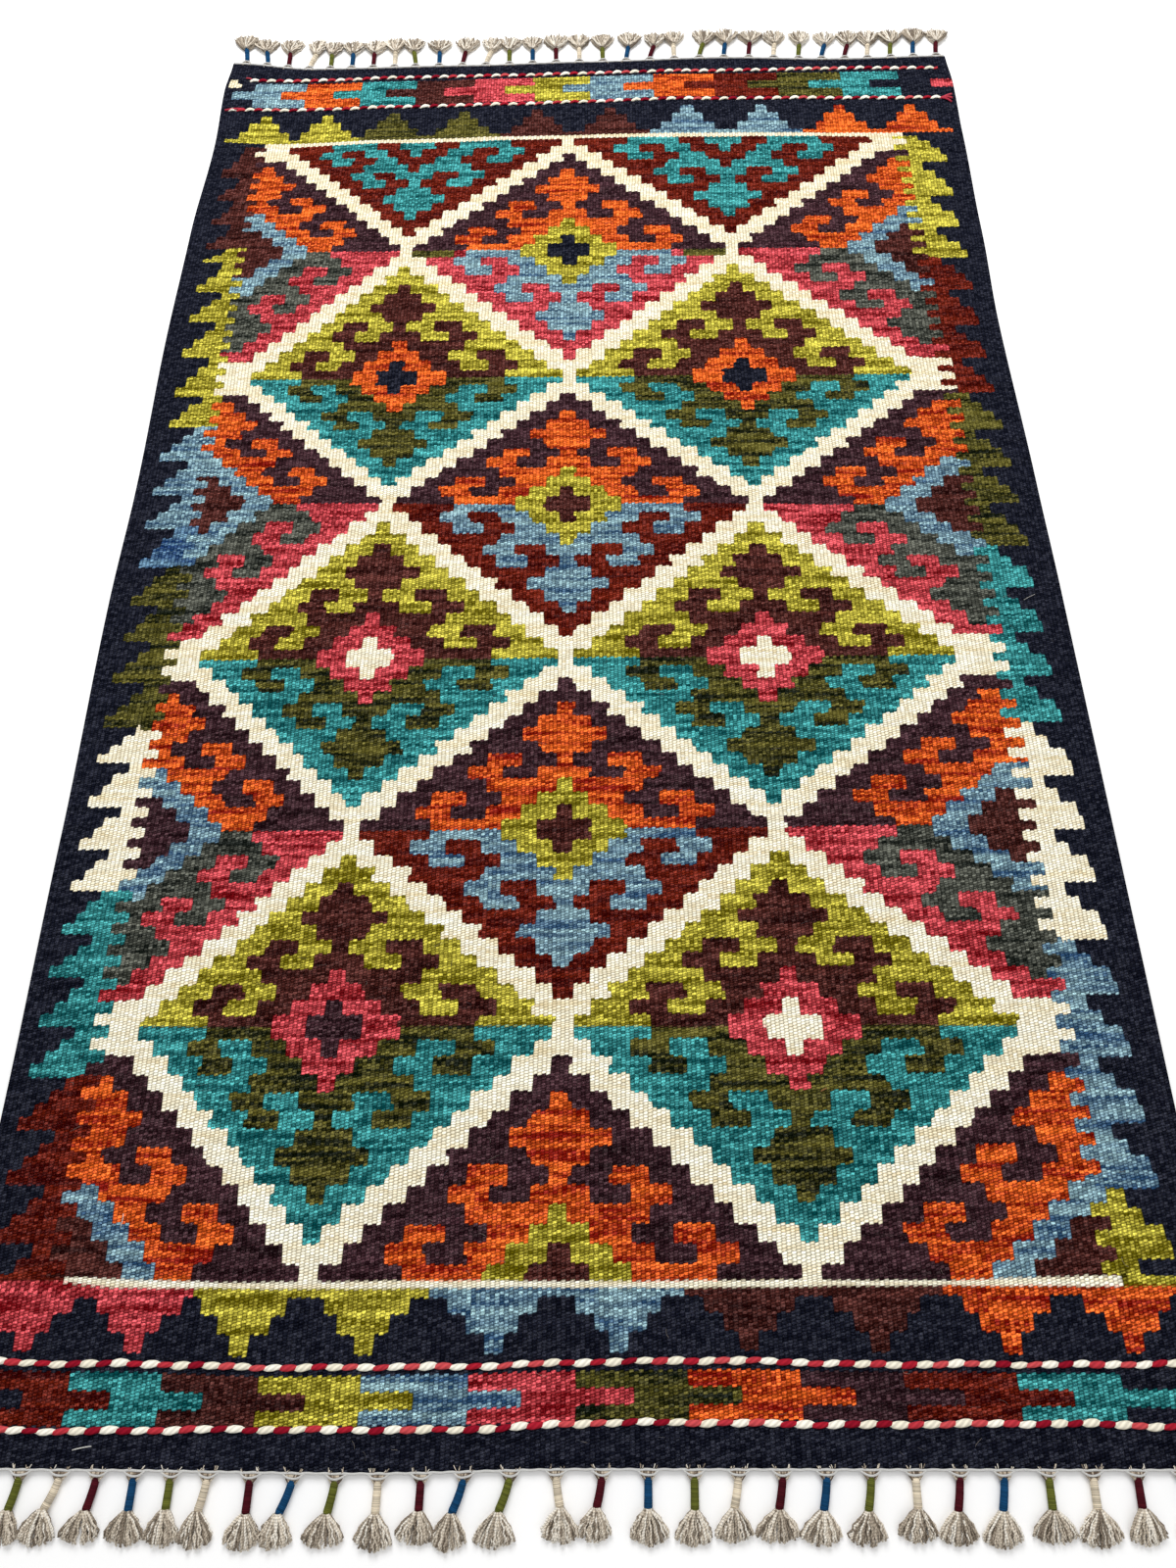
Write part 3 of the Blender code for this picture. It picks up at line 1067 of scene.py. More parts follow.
@dataclass(frozen=True)
class Beads:
    """The weft-faced weave: a bead two picks high on each warp, in a brick layout.

    Args:
        name: the shared group's name.
        shadow: how dark the painted shade in the gaps between beads is, 0 to 1.
        mottle: how much beads differ in tone.
        bias: the tone of the middling bead, from the dark dye to the light one.
        fine: how strongly the dye streaks from pick to pick.
        broad: how strongly it drifts over a finger's width.
        pick: how much single picks differ.
        fuzz: how much loose fibres lighten and darken the beads.
        slant: how many picks a bead rises across its warp.
        fleck: how strongly the light catches single fibres, in doublings of light.
        uneven: how much whole beads differ in light, in doublings of light.
        loss: how much light flecking takes from the middling bead, in halvings.
        pale: how far a fibre that catches the light turns toward the pale tone of a painted
            highlight.
        gain: the light of the middling bead.
        sink: painted shade: how much the tone is drawn toward the dark dye down between the beads.
        fade: how much lighter painted light makes the far end's yarns than the near end's.
        lot_jump: how far apart the noise of two dye lots is read.
        drift: how far the streaks' noise moves on from warp to warp.
        fine_picks: how far the fine streaks' moves on from pick to pick.
        broad_picks: how far the broad ones' does.
        stretch: one warp's part of the length over which a pick keeps its tone.
        fibre_scale: fibres to each warp and to each pick.
        speck_scale: flecks to each warp and to each pick.
        side_fall: how fast a bead falls off to its sides.
        end_fall: how fast it falls off to its ends.
        mean_height: a bead's height in the mean.
        catch_power: how strongly a caught fibre lights up.
    """

    name: str = "weave_beads"
    shadow: float = 0.93
    mottle: float = 0.30
    bias: float = 0.445
    fine: float = 2.4
    broad: float = 2.2
    pick: float = 0.38
    fuzz: float = 1.1
    slant: float = 0.45
    fleck: float = 13.0
    uneven: float = 1.7
    loss: float = 0.38
    pale: float = 0.026
    gain: float = 1.40
    sink: float = 0.45
    fade: float = 0.22
    lot_jump: float = 7.31
    drift: float = 0.042
    fine_picks: float = 0.42
    broad_picks: float = 0.14
    stretch: float = 0.085
    fibre_scale: tuple[float, float] = (1.5, 3.6)
    speck_scale: tuple[float, float] = (3.6, 2.8)
    side_fall: float = 3.1
    end_fall: float = 0.96
    mean_height: float = 0.75
    catch_power: float = 0.75

    def build(self) -> NodeTree:
        """Build the group, from weave and row places to a dyed colour with painted shade and
        highlights, and a height.

        Returns:
            The group's tree.
        """
        graph = Graph.group(
            self.name,
            {"Weave": SocketKind.VECTOR, "Row": SocketKind.VECTOR,
             "Yarns": SocketKind.VECTOR, "Lot": SocketKind.FLOAT},
            {"Color": SocketKind.COLOR, "Height": SocketKind.FLOAT})
        entry = graph.entry.outputs
        across, along, _zero = graph.parts(entry["Weave"])
        picks, local, _zero = graph.parts(entry["Row"])
        own, above, below = graph.parts(entry["Yarns"])

        # The bead that a point is on: on every second warp they lie one pick farther down
        warp = graph.math("FLOOR", across)
        parity = graph.math("MODULO", warp, 2.0)
        off_across = graph.minus(graph.minus(across, warp), 0.5)
        leaned = graph.line(off_across, -self.slant, along)
        number = graph.math("FLOOR", graph.math("DIVIDE", graph.plus(leaned, parity), 2.0))
        middle = graph.minus(graph.line(number, 2.0, 1.0), parity)
        off_along = graph.minus(leaned, middle)

        # A whole bead has the yarn of the row that its middle is in
        bead_local = graph.minus(local, graph.minus(along, middle))
        is_above = graph.math("GREATER_THAN", bead_local, picks)
        is_below = graph.math("LESS_THAN", bead_local, 0.0)
        up_step = graph.times(is_above, graph.minus(above, own))
        down_step = graph.times(is_below, graph.minus(below, own))
        yarn = graph.plus(own, graph.plus(up_step, down_step))
        place = graph.math("DIVIDE", graph.plus(yarn, 0.5), float(DYE_STEPS))
        dark = graph.steps(place, [DYES[dye].dark.linear() for dye in Dye])
        light = graph.steps(place, [DYES[dye].light.linear() for dye in Dye])
        strength, flecking, far_light_strength = graph.parts(
            graph.steps(place, [self._strengths(DYES[dye]) for dye in Dye]))

        # Streaks of dye, from pick to pick and over a finger's width, and painted light that grows
        # toward the far end
        lot = graph.times(entry["Lot"], self.lot_jump)
        drift = graph.line(warp, self.drift, lot)
        fine = graph.noise(
            graph.vector(drift, graph.times(middle, self.fine_picks), lot), 1.0, 2.0)
        broad = graph.noise(graph.vector(drift, graph.times(middle, self.broad_picks), yarn), 1.0)
        stretch = graph.math("FLOOR", graph.line(warp, self.stretch, lot))
        pick = graph.chance(graph.vector(middle, stretch, yarn))
        chance = graph.chance(graph.vector(warp, number, 3.0))
        fibre = self._fibres(graph, across, leaned, self.fibre_scale, 0.0, 0.7)
        speck = self._fibres(graph, across, leaned, self.speck_scale, 5.0, 0.8)
        streak = graph.plus(graph.swing(fine, self.fine), graph.swing(broad, self.broad))
        streak = graph.plus(streak, graph.swing(pick, self.pick))
        # Painted light: each yarn is painted lighter toward the far end, or darker where its far
        # light is below zero
        later = graph.times(along, PICK / LENGTH)
        streak = graph.times(streak, strength)
        far_light_tone = graph.times(graph.swing(later, self.fade),
                             graph.line(far_light_strength, FAR_LIGHT_SPAN, -FAR_LIGHT_SPAN / 2))
        streak = graph.plus(streak, far_light_tone)
        mottled = graph.plus(graph.swing(chance, self.mottle), graph.swing(fibre, self.fuzz))

        # Painted shade: the bead's round form darkens the gaps. Painted highlights: single fibres
        # catch the light
        side_fall = graph.times(graph.times(off_across, off_across), self.side_fall)
        end_fall = graph.times(graph.times(off_along, off_along), self.end_fall)
        bead = graph.times(graph.math("SQRT", graph.minus(1.0, side_fall, clamp=True)),
                           graph.math("SQRT", graph.minus(1.0, end_fall, clamp=True)))
        # Painted shade: the tone and the light both drop in the gaps between beads
        gap_shade_tone = graph.line(bead, self.sink, self.bias - self.mean_height * self.sink)
        tone = graph.plus(graph.plus(streak, mottled), gap_shade_tone, clamp=True)
        color = graph.blend(tone, dark, light)
        lit = graph.line(bead, self.shadow * self.gain, 1.0 - self.shadow)
        # Painted highlights: flecks of caught light brighten the bead and pale its colour
        doublings = graph.plus(graph.swing(speck, self.fleck), graph.swing(chance, self.uneven))
        doublings = graph.minus(doublings, self.loss)
        catch = graph.math("POWER", 2.0, graph.times(doublings, flecking))
        paled = graph.times(graph.minus(catch, 1.0, clamp=True), self.pale)
        color = graph.blend(paled, color, FIBRE_HIGHLIGHT)
        lit = graph.times(lit, graph.math("POWER", catch, self.catch_power))
        graph.join(graph.shade(color, lit), graph.exit.inputs["Color"])
        graph.join(bead, graph.exit.inputs["Height"])
        return graph.tree

    @staticmethod
    def _strengths(lot: DyeLot) -> tuple[float, float, float, float]:
        """Pack a dye's streak, fleck and painted far-end light as a colour; the far light is moved
        into 0 to 1.
        """
        return lot.streak, lot.fleck, (lot.streak * lot.fade + FAR_LIGHT_SPAN / 2) / FAR_LIGHT_SPAN, 1.0

    @staticmethod
    def _fibres(graph: Graph, across: Socket, leaned: Socket,
                scale: tuple[float, float], layer: float, rough: float) -> Socket:
        """Add the noise of single fibres.

        Args:
            graph: the group's graph.
            across: the place in warps.
            leaned: the place in picks, along the bead's own lean.
            scale: waves to each warp and to each pick.
            layer: which sheet of the noise is read.
            rough: how strong its finer waves are.

        Returns:
            The noise's socket.
        """
        place = graph.vector(graph.times(across, scale[0]), graph.times(leaned, scale[1]), layer)
        return graph.noise(place, 1.0, 2.0, rough)


@dataclass(frozen=True)
class PliedYarn:
    """A plied yarn: ridges that twist round a strand, painted light on the ridges and painted
    shade in the furrows, with loose fibres.

    Args:
        name: the shared group's name.
        turns: ply ridges for each unit along the strand's own map.
        slant: ridges' lean round the strand.
        shadow: how dark the painted shade in the furrows is, 0 to 1.
        fibre_scale: loose fibres round a strand, and to each metre along it.
        fibre_share: how strong they are beside the ridges.
        top_light: the painted light on a ridge without fibres.
    """

    name: str
    turns: float
    slant: float
    shadow: float
    fibre_scale: tuple[float, float] = (9.0, 900.0)
    fibre_share: float = 0.5
    top_light: float = 1.08

    def build(self) -> NodeTree:
        """Build the group, from a strand's own place and dye to its colour, with painted light and
        shade, and its height.

        Returns:
            The group's tree.
        """
        graph = Graph.group(
            self.name,
            {"Strand": SocketKind.VECTOR, "Dye": SocketKind.COLOR},
            {"Color": SocketKind.COLOR, "Height": SocketKind.FLOAT})
        entry = graph.entry.outputs
        around, along, _zero = graph.parts(entry["Strand"])
        phase = graph.plus(graph.times(along, self.turns), graph.times(around, self.slant))
        wave = graph.math("SINE", graph.times(phase, math.tau))
        ridge = graph.line(wave, 0.5, 0.5)
        fuzz = graph.noise(graph.vector(graph.times(around, self.fibre_scale[0]),
                                        graph.times(along, self.fibre_scale[1])), 1.0, 2.0)
        height = graph.line(fuzz, self.fibre_share, ridge)
        # Painted light and shade: ridges lighter, furrows darker
        lit = graph.line(height, self.shadow, self.top_light - self.shadow)
        graph.join(graph.shade(entry["Dye"], lit), graph.exit.inputs["Color"])
        graph.join(height, graph.exit.inputs["Height"])
        return graph.tree


@dataclass(frozen=True)
class Finish:
    """A surface finish: its roughness, fibre sheen and depth of relief.

    Args:
        name: the material's name.
        roughness: of the fibres.
        sheen: how much soft fibre sheen it has.
        relief: the depth of its bumps, in metres.
        sheen_roughness: how soft the sheen is.
        relief_strength: how strongly the bumps bend the light.
    """

    name: str
    roughness: float
    sheen: float
    relief: float
    sheen_roughness: float = 0.5
    relief_strength: float = 0.8

    def start(self) -> tuple[Material, Graph, Node]:
        """Make the material with its constant values set on the shader itself.

        Returns:
            The material, its graph and its shader.
        """
        material = bpy.data.materials.new(self.name)
        material.use_nodes = True
        shader = material.node_tree.nodes["Principled BSDF"]
        shader.inputs["Roughness"].default_value = self.roughness
        shader.inputs["Sheen Weight"].default_value = self.sheen
        shader.inputs["Sheen Roughness"].default_value = self.sheen_roughness
        shader.inputs["Specular IOR Level"].default_value = 0.0
        return material, Graph(material.node_tree), shader

    def finish(self, graph: Graph, shader: Node, color: Socket,
               height: Socket) -> None:
        """Feed the shader its colour and its relief.

        Args:
            graph: the material's graph.
            shader: its shader.
            color: the colour's socket.
            height: the relief's socket.
        """
        bump = graph.node("ShaderNodeBump")
        bump.inputs["Distance"].default_value = self.relief
        bump.inputs["Strength"].default_value = self.relief_strength
        graph.join(height, bump.inputs["Height"])
        graph.join(color, shader.inputs["Base Color"])
        graph.join(bump.outputs[0], shader.inputs["Normal"])

    def woven(self, group: NodeTree) -> Material:
        """Make the cloth's material: its maps and yarn numbers go through the shared beads.

        Args:
            group: the shared beads.

        Returns:
            The material.
        """
        material, graph, shader = self.start()
        weave = graph.node("ShaderNodeUVMap", uv_map="weave")
        row = graph.node("ShaderNodeUVMap", uv_map="row")
        yarns = graph.node("ShaderNodeAttribute", attribute_name="yarns")
        beads = graph.use(group, Weave=weave.outputs[0], Row=row.outputs[0],
                          Yarns=yarns.outputs["Vector"], Lot=yarns.outputs["Alpha"])
        self.finish(graph, shader, beads.outputs["Color"], beads.outputs["Height"])
        return material

    def plied(self, group: NodeTree) -> Material:
        """Make the material of strands whose own dye is painted on them.

        Args:
            group: the shared plied yarn.

        Returns:
            The material.
        """
        material, graph, shader = self.start()
        strand = graph.node("ShaderNodeUVMap", uv_map="strand")
        dye = graph.node("ShaderNodeAttribute", attribute_name="dye")
        yarn = graph.use(group, Strand=strand.outputs[0], Dye=dye.outputs["Color"])
        self.finish(graph, shader, yarn.outputs["Color"], yarn.outputs["Height"])
        return material


def fit_lines(lines: Sequence[float], wanted: Sequence[float]) -> list[float]:
    """Move evenly spaced row lines so that the wanted places each lie on one.

    Args:
        lines: the row lines, in order.
        wanted: the places, in order, all between the first line and the last.

    Returns:
        As many lines, with the same ends.
    """
    numbers, places = [0], [lines[0]]
    last = len(lines) - 1
    for place in wanted:
        if not lines[0] < place < lines[-1]:
            continue
        number = min(range(last + 1), key=lambda n: abs(lines[n] - place))
        number = max(number, numbers[-1] + 1)
        if number < last:
            numbers.append(number)
            places.append(place)
    numbers.append(last)
    places.append(lines[-1])
    return list(np.interp(range(last + 1), numbers, places))


ROW_RIPPLE = Ripple(3, (0.310, 0.083, 0.031), (0.0007, 0.0004, 0.0003))
WARP_RIPPLE = Ripple(11, (0.420, 0.130), (0.0007, 0.0003))
HEIGHT_RIPPLE = Ripple(23, (0.52, 0.19, 0.071), (0.00022, 0.00012, 0.00006))


def link_mesh(name: str, bm: BMesh, material: Material) -> Object:
    """Turn a finished mesh into an object of the scene.

    Args:
        name: the object's name.
        bm: its mesh, which is used up.
        material: its only material.

    Returns:
        The object.
    """
    mesh = bpy.data.meshes.new(name)
    bm.to_mesh(mesh)
    bm.free()
    mesh.materials.append(material)
    thing = bpy.data.objects.new(name, mesh)
    bpy.context.scene.collection.objects.link(thing)
    return thing


@dataclass
class WovenCloth:
    """The woven cloth: one column of faces a warp, two rows of faces a cell.

    Args:
        rug: where the weaver's places lie in the frame.
        plan: the rows of weave.
        finish: the wool's finish.
        rim_drop: how far down the selvedge's roundest place lies.
        rim_out: how far out it bulges.
        slit_depth: how deep the slits between two yarns are pressed in.
        corner_ease: how far a step's corner is pulled in.
        tip_start: where the near cream line begins, as a point.
        tip_length: how long the point is.
        tip_bend: how much of a row's height the line is bent up before it.
        border_reach: how far in a border may reach.
        calm_part: ripples are full one in this many parts in from an edge.
        row_drift: how much the rows' ripple changes from row to row.
        warp_drift: how much the warps' ripple changes across.
        height_drift: how much the height's ripple changes along.
        corner_stretch: how much farther a corner is pulled along than across.
        foot_in: how far in the underside's rim lies.
        lot_warps: how many warps wide a piece of work is, before a new dye lot is taken.
        lot_rows: how many rows high it is.
        lot_strides: how far the lot moves on with the dye, across and along.
        lattice: the diamonds.
    """

    rug: RugMap
    plan: RowPlan = field(default_factory=RowPlan)
    finish: Finish = Finish("kilim_wool_weave", 0.95, 0.0, 0.0007)
    rim_drop: float = 0.0013
    rim_out: float = 0.0007
    slit_depth: float = 0.00035
    corner_ease: float = 0.0004
    tip_start: float = 0.079
    tip_length: float = 0.040
    tip_bend: float = 0.75
    border_reach: float = 0.11
    calm_part: int = 8
    row_drift: float = 1.7
    warp_drift: float = 9.0
    height_drift: float = 11.0
    corner_stretch: float = 1.2
    foot_in: float = 0.0004
    lot_warps: int = 27
    lot_rows: int = 28
    lot_strides: tuple[int, int, int] = (5, 3, 7)
    lattice: Lattice = field(default_factory=Lattice)

    def __post_init__(self) -> None:
        """Lay out the row lines and chart the yarns."""
        self.lines = self.plan.nominal_lines()
        self.rows = len(self.lines) - 1
        self.shifts = {border.mirrored: self._side_shifts(border)
                       for border in (LEFT_BORDER, RIGHT_BORDER)}
        self.dyes = [[self._dye(warp, row) for row in range(self.rows)]
                     for warp in range(WARPS)]

    def _side_shifts(self, border: Border) -> Sequence[list[float]]:
        """Fit the row lines of a side's teeth and of its comb."""
        wanted = (border.step_lines(), border.finger_lines())
        return [self._zone_shift(lines, across) for lines, across in zip(wanted, border.row_reads)]

    def _zone_shift(self, wanted: Sequence[float], across: float) -> list[float]:
        """Fit the row lines of a zone that has its own rows.

        Args:
            wanted: the places along that a row line has to lie on.
            across: where across the rug the zone is.

        Returns:
            How far each row line is moved there.
        """
        low, high = self.plan.first_lattice_row, self.plan.first_far_row
        straight = [follow_anchors(across, line) for line in self.lines[low:high + 1]]
        fitted = fit_lines(straight, wanted)
        shift = [0.0] * (self.rows + 1)
        for number, (old, new) in enumerate(zip(straight, fitted)):
            shift[low + number] = new - old
        return shift

    def _shift(self, across: float, line: int) -> float:
        """Blend a row line's move between the zones.

        Args:
            across: share of the rug's width from the left edge.
            line: the row line's number.

        Returns:
            How far the line is moved there.
        """
        border = LEFT_BORDER if across < WIDTH / 2 else RIGHT_BORDER
        teeth, comb = (shift[line] for shift in self.shifts[border.mirrored])
        return float(np.interp(border.inset(across), border.row_stops, (teeth, comb, comb, 0.0)))

    def _along(self, across: float, line: int) -> float:
        """Find where a row line lies, without its ripple.

        Args:
            across: share of the rug's width from the left edge.
            line: the row line's number.

        Returns:
            Its distance from the near end's datum there.
        """
        along = follow_anchors(across, self.lines[line]) + self._shift(across, line)
        if line == self.plan.first_lattice_row - 1:
            point = 1 - (across - self.tip_start) / self.tip_length
            above = follow_anchors(across, self.lines[line + 1])
            along += (above - along) * self.tip_bend * min(1.0, max(0.0, point))
        return along

    def _dye(self, warp: int, row: int) -> Dye:
        """Find the yarn of one face of the cloth.

        Args:
            warp: which warp it goes round, from the left.
            row: which row it is in, from the near end.

        Returns:
            The yarn's dye.
        """
        share = (warp + 0.5) / WARPS
        along = (self._along(share, row) + self._along(share, row + 1)) / 2
        across = self.rug.edge(share, along)
        low, high = self.plan.first_lattice_row, self.plan.first_far_row
        if row < low:
            return NEAR_PATTERN.dye_at(across, row)
        if row >= high:
            return FAR_PATTERN.dye_at(across, row - high)
        for border in (LEFT_BORDER, RIGHT_BORDER):
            if border.inset(across) < self.border_reach:
                dye = border.dye_at(across, along)
                if dye is not None:
                    return dye
        interval, place = divmod(row - low, 2 * self.lattice.rows)
        return self.lattice.dye_at(across, along, interval, place // 2)

    def _vertex(self, warp: int, line: int) -> Vector:
        """Place a vertex of the face side.

        Args:
            warp: the number of the line between two warps, from the left edge.
            line: the row line's number.

        Returns:
            Its place in the frame.
        """
        share = warp / WARPS
        along = self._along(share, line)
        inset = min(share, 1 - share, line / self.rows, 1 - line / self.rows)
        calm = min(1.0, self.calm_part * inset)
        across = self.rug.edge(share, along)
        rippled = along + calm * ROW_RIPPLE.at(share, line * self.row_drift)
        across += calm * WARP_RIPPLE.at(along, share * self.warp_drift)
        ease_x, ease_y = self._ease(warp, line)
        across += ease_x
        rippled += ease_y
        relief = HEIGHT_RIPPLE.at(across, along * self.height_drift)
        return self.rug.place(across, rippled, THICKNESS + relief - self._slit(warp, line))

    def _ease(self, warp: int, line: int) -> tuple[float, float]:
        """Pull a step's corner in, where one of the four yarns round a vertex is alone.

        Args:
            warp: the vertex's number across.
            line: its number along.

        Returns:
            How far it is pulled across and along.
        """
        if not (0 < warp < WARPS and 0 < line < self.rows):
            return 0.0, 0.0
        around = {(side, end): self.dyes[warp - (side < 0)][line - (end < 0)]
                  for side in (-1, 1) for end in (-1, 1)}
        for (side, end), dye in around.items():
            others = [other for place, other in around.items() if place != (side, end)]
            if dye not in others and len(set(others)) == 1:
                return side * self.corner_ease, end * self.corner_ease * self.corner_stretch
        return 0.0, 0.0

    def _slit(self, warp: int, line: int) -> float:
        """Find the depth of the slit at a vertex: yarns turn back there on both sides.

        Args:
            warp: the vertex's number across.
            line: its number along.

        Returns:
            How deep the vertex is pressed in.
        """
        if not 0 < warp < WARPS:
            return 0.0
        rows = [row for row in (line - 1, line) if 0 <= row < self.rows]
        open_rows = [row for row in rows if self.dyes[warp - 1][row] != self.dyes[warp][row]]
        return self.slit_depth * len(open_rows) / len(rows)

    def build(self, beads: NodeTree) -> Object:
        """Build the cloth and dress it.

        Args:
            beads: the shared weave group.

        Returns:
            The cloth's object.
        """
        self.bm = bmesh.new()
        bmesh.ops.create_grid(self.bm, x_segments=WARPS, y_segments=self.rows, size=1.0)
        self.warp_layer = self.bm.verts.layers.int.new("warp_number")
        self.line_layer = self.bm.verts.layers.int.new("line_number")
        for vert in self.bm.verts:
            vert[self.warp_layer] = round((vert.co.x + 1) / 2 * WARPS)
            vert[self.line_layer] = round((vert.co.y + 1) / 2 * self.rows)
            vert.co = self._vertex(vert[self.warp_layer], vert[self.line_layer])
        self._close()
        self._map()
        return link_mesh("rug_cloth", self.bm, self.finish.woven(beads))

    def _close(self) -> None:
        """Round the selvedge down to the floor and close the underside."""
        for out, height in ((self.rim_out, THICKNESS - self.rim_drop), (-self.foot_in, 0.0)):
            rim = [edge for edge in self.bm.edges if edge.is_boundary]
            grown = bmesh.ops.extrude_edge_only(self.bm, edges=rim)["geom"]
            for vert in (part for part in grown if isinstance(part, BMVert)):
                warp, line = vert[self.warp_layer], vert[self.line_layer]
                base = self._vertex(warp, line)
                side_x = (warp == WARPS) - (warp == 0)
                side_y = (line == self.rows) - (line == 0)
                vert.co = Vector((base.x + side_x * out, base.y + side_y * out, height))
        rim = [edge for edge in self.bm.edges if edge.is_boundary]
        bmesh.ops.edgeloop_fill(self.bm, edges=rim)
        bmesh.ops.recalc_face_normals(self.bm, faces=self.bm.faces[:])

    def _map(self) -> None:
        """Give each face its maps and its yarns: its own, the one above and the one below."""
        weave = self.bm.loops.layers.uv.new("weave")
        local = self.bm.loops.layers.uv.new("row")
        yarns = self.bm.loops.layers.float_color.new("yarns")
        for face in self.bm.faces:
            numbers = [(vert[self.warp_layer], vert[self.line_layer]) for vert in face.verts]
            warp = min(min(number[0] for number in numbers), WARPS - 1)
            row = min(min(number[1] for number in numbers), self.rows - 1)
            own = self.dyes[warp][row]
            above = self.dyes[warp][min(row + 1, self.rows - 1)]
            below = self.dyes[warp][max(row - 1, 0)]
            lot = self._lot(own, warp, row)
            if len(numbers) > 4:    # the underside, which is one face
                own = above = below = Dye.NAVY
            face.smooth = True
            for loop in face.loops:
                number, line = loop.vert[self.warp_layer], loop.vert[self.line_layer]
                share = number / WARPS
                bottom = self.lines[row] + self._shift(share, row)
                top = self.lines[row + 1] + self._shift(share, row + 1)
                here = self.lines[line] + self._shift(share, line)
                loop[weave].uv = (number, here / PICK)
                loop[local].uv = ((top - bottom) / PICK, (here - bottom) / PICK)
                loop[yarns] = (float(own), float(above), float(below), lot)

    def _lot(self, dye: Dye, warp: int, row: int) -> float:
        """The dye lot of a face, from 0 up to 1: each diamond's side has its own."""
        counts = (int(dye), warp // self.lot_warps, row // self.lot_rows)
        piece = sum(count * stride for count, stride in zip(counts, self.lot_strides))
        return piece % DYE_STEPS / DYE_STEPS


class Ring(NamedTuple):
    """One ring of a strand: its middle, and its half width and half height."""

    middle: Vector
    half_width: float
    half_height: float


class Strands:
    """Yarn strands gathered into one mesh, each a closed tube with drawn-in ends."""

    batch = 2500        # vertices at which a batch is full
    seam = 1e-7         # how close a tube's two seams have to lie to become one
    reach = 2           # how many rings off on each side a ring takes its direction from

    def __init__(self) -> None:
        """Start with none."""
        self.whole = bmesh.new()
        self._start()

    def _start(self) -> None:
        """Start a batch: small meshes take new strands quickly."""
        self.bm = bmesh.new()
        self.around = self.bm.verts.layers.float.new("around")
        self.along = self.bm.verts.layers.float.new("reached")
        self.dye = self.bm.verts.layers.float_color.new("dye")

    def _gather(self) -> None:
        """Map the batch, close its tubes and put it with the others."""
        strand_map = self.bm.loops.layers.uv.new("strand")
        for face in self.bm.faces:
            face.smooth = True
            for loop in face.loops:
                loop[strand_map].uv = (loop.vert[self.around], loop.vert[self.along])
        bmesh.ops.remove_doubles(self.bm, verts=self.bm.verts[:], dist=self.seam)
        bmesh.ops.recalc_face_normals(self.bm, faces=self.bm.faces[:])
        mesh = bpy.data.meshes.new("batch")
        self.bm.to_mesh(mesh)
        self.bm.free()
        self.whole.from_mesh(mesh)
        bpy.data.meshes.remove(mesh)

    def add(self, rings: Sequence[Ring], sides: int, dyes: Sequence[Rgb],
            wound: float = 0.0) -> None:
        """Add a strand through its rings.

        Args:
            rings: from one end to the other; both ends are drawn in to a point.
            sides: how many faces lie round the strand.
            dyes: its colour, or one for each ring.
            wound: for a strand wound round with yarn, how much finer its ribs are than plies.
        """
        if len(self.bm.verts) > self.batch:
            self._gather()
            self._start()
        colors = [dye.linear() for dye in dyes]
        rings = [rings[0]._replace(half_width=0.0, half_height=0.0), *rings,
                 rings[-1]._replace(half_width=0.0, half_height=0.0)]
        last = len(rings) - 1
        reached = [0.0]
        for low, high in zip(rings, rings[1:]):
            reached.append(reached[-1] + (high.middle - low.middle).length)
        grown = bmesh.ops.create_grid(self.bm, x_segments=last, y_segments=sides, size=1.0)
        for vert in grown["verts"]:
            number = round((vert.co.x + 1) / 2 * last)
            side = round((vert.co.y + 1) / 2 * sides)
            ring = rings[number]
            before, after = max(number - self.reach, 0), min(number + self.reach, last)
            run = rings[after].middle - rings[before].middle
            across = Vector((run.y, -run.x, 0.0)).normalized()
            over = across.cross(run).normalized()
            turn = math.tau * side / sides
            vert.co = (ring.middle + across * ring.half_width * math.cos(turn)
                       + over * ring.half_height * math.sin(turn))
            vert[self.around] = 0.0 if wound else side / sides
            vert[self.along] = reached[number] * (wound or 1.0)
            vert[self.dye] = colors[min(max(number - 1, 0), len(colors) - 1)]

    def finish(self, name: str, material: Material) -> Object:
        """Hand over all strands as one object."""
        self._gather()
        return link_mesh(name, self.whole, material)


class CordRun(NamedTuple):
    """A row of twined cord: its CAD node, the line it follows and its two ends."""

    node: str
    line: tuple[Read, ...]
    start: float
    end: float


CORD_RUNS = (
    CordRun("twined_cord_near_outer", NEAR_OUTER, 0.010, 0.988),
    CordRun("twined_cord_near_inner", NEAR_INNER, 0.010, 0.988),
    CordRun("twined_cord_far_inner", FAR_INNER, 0.008, 0.988),
    CordRun("twined_cord_far_outer", FAR_OUTER, 0.030, 0.984),
)


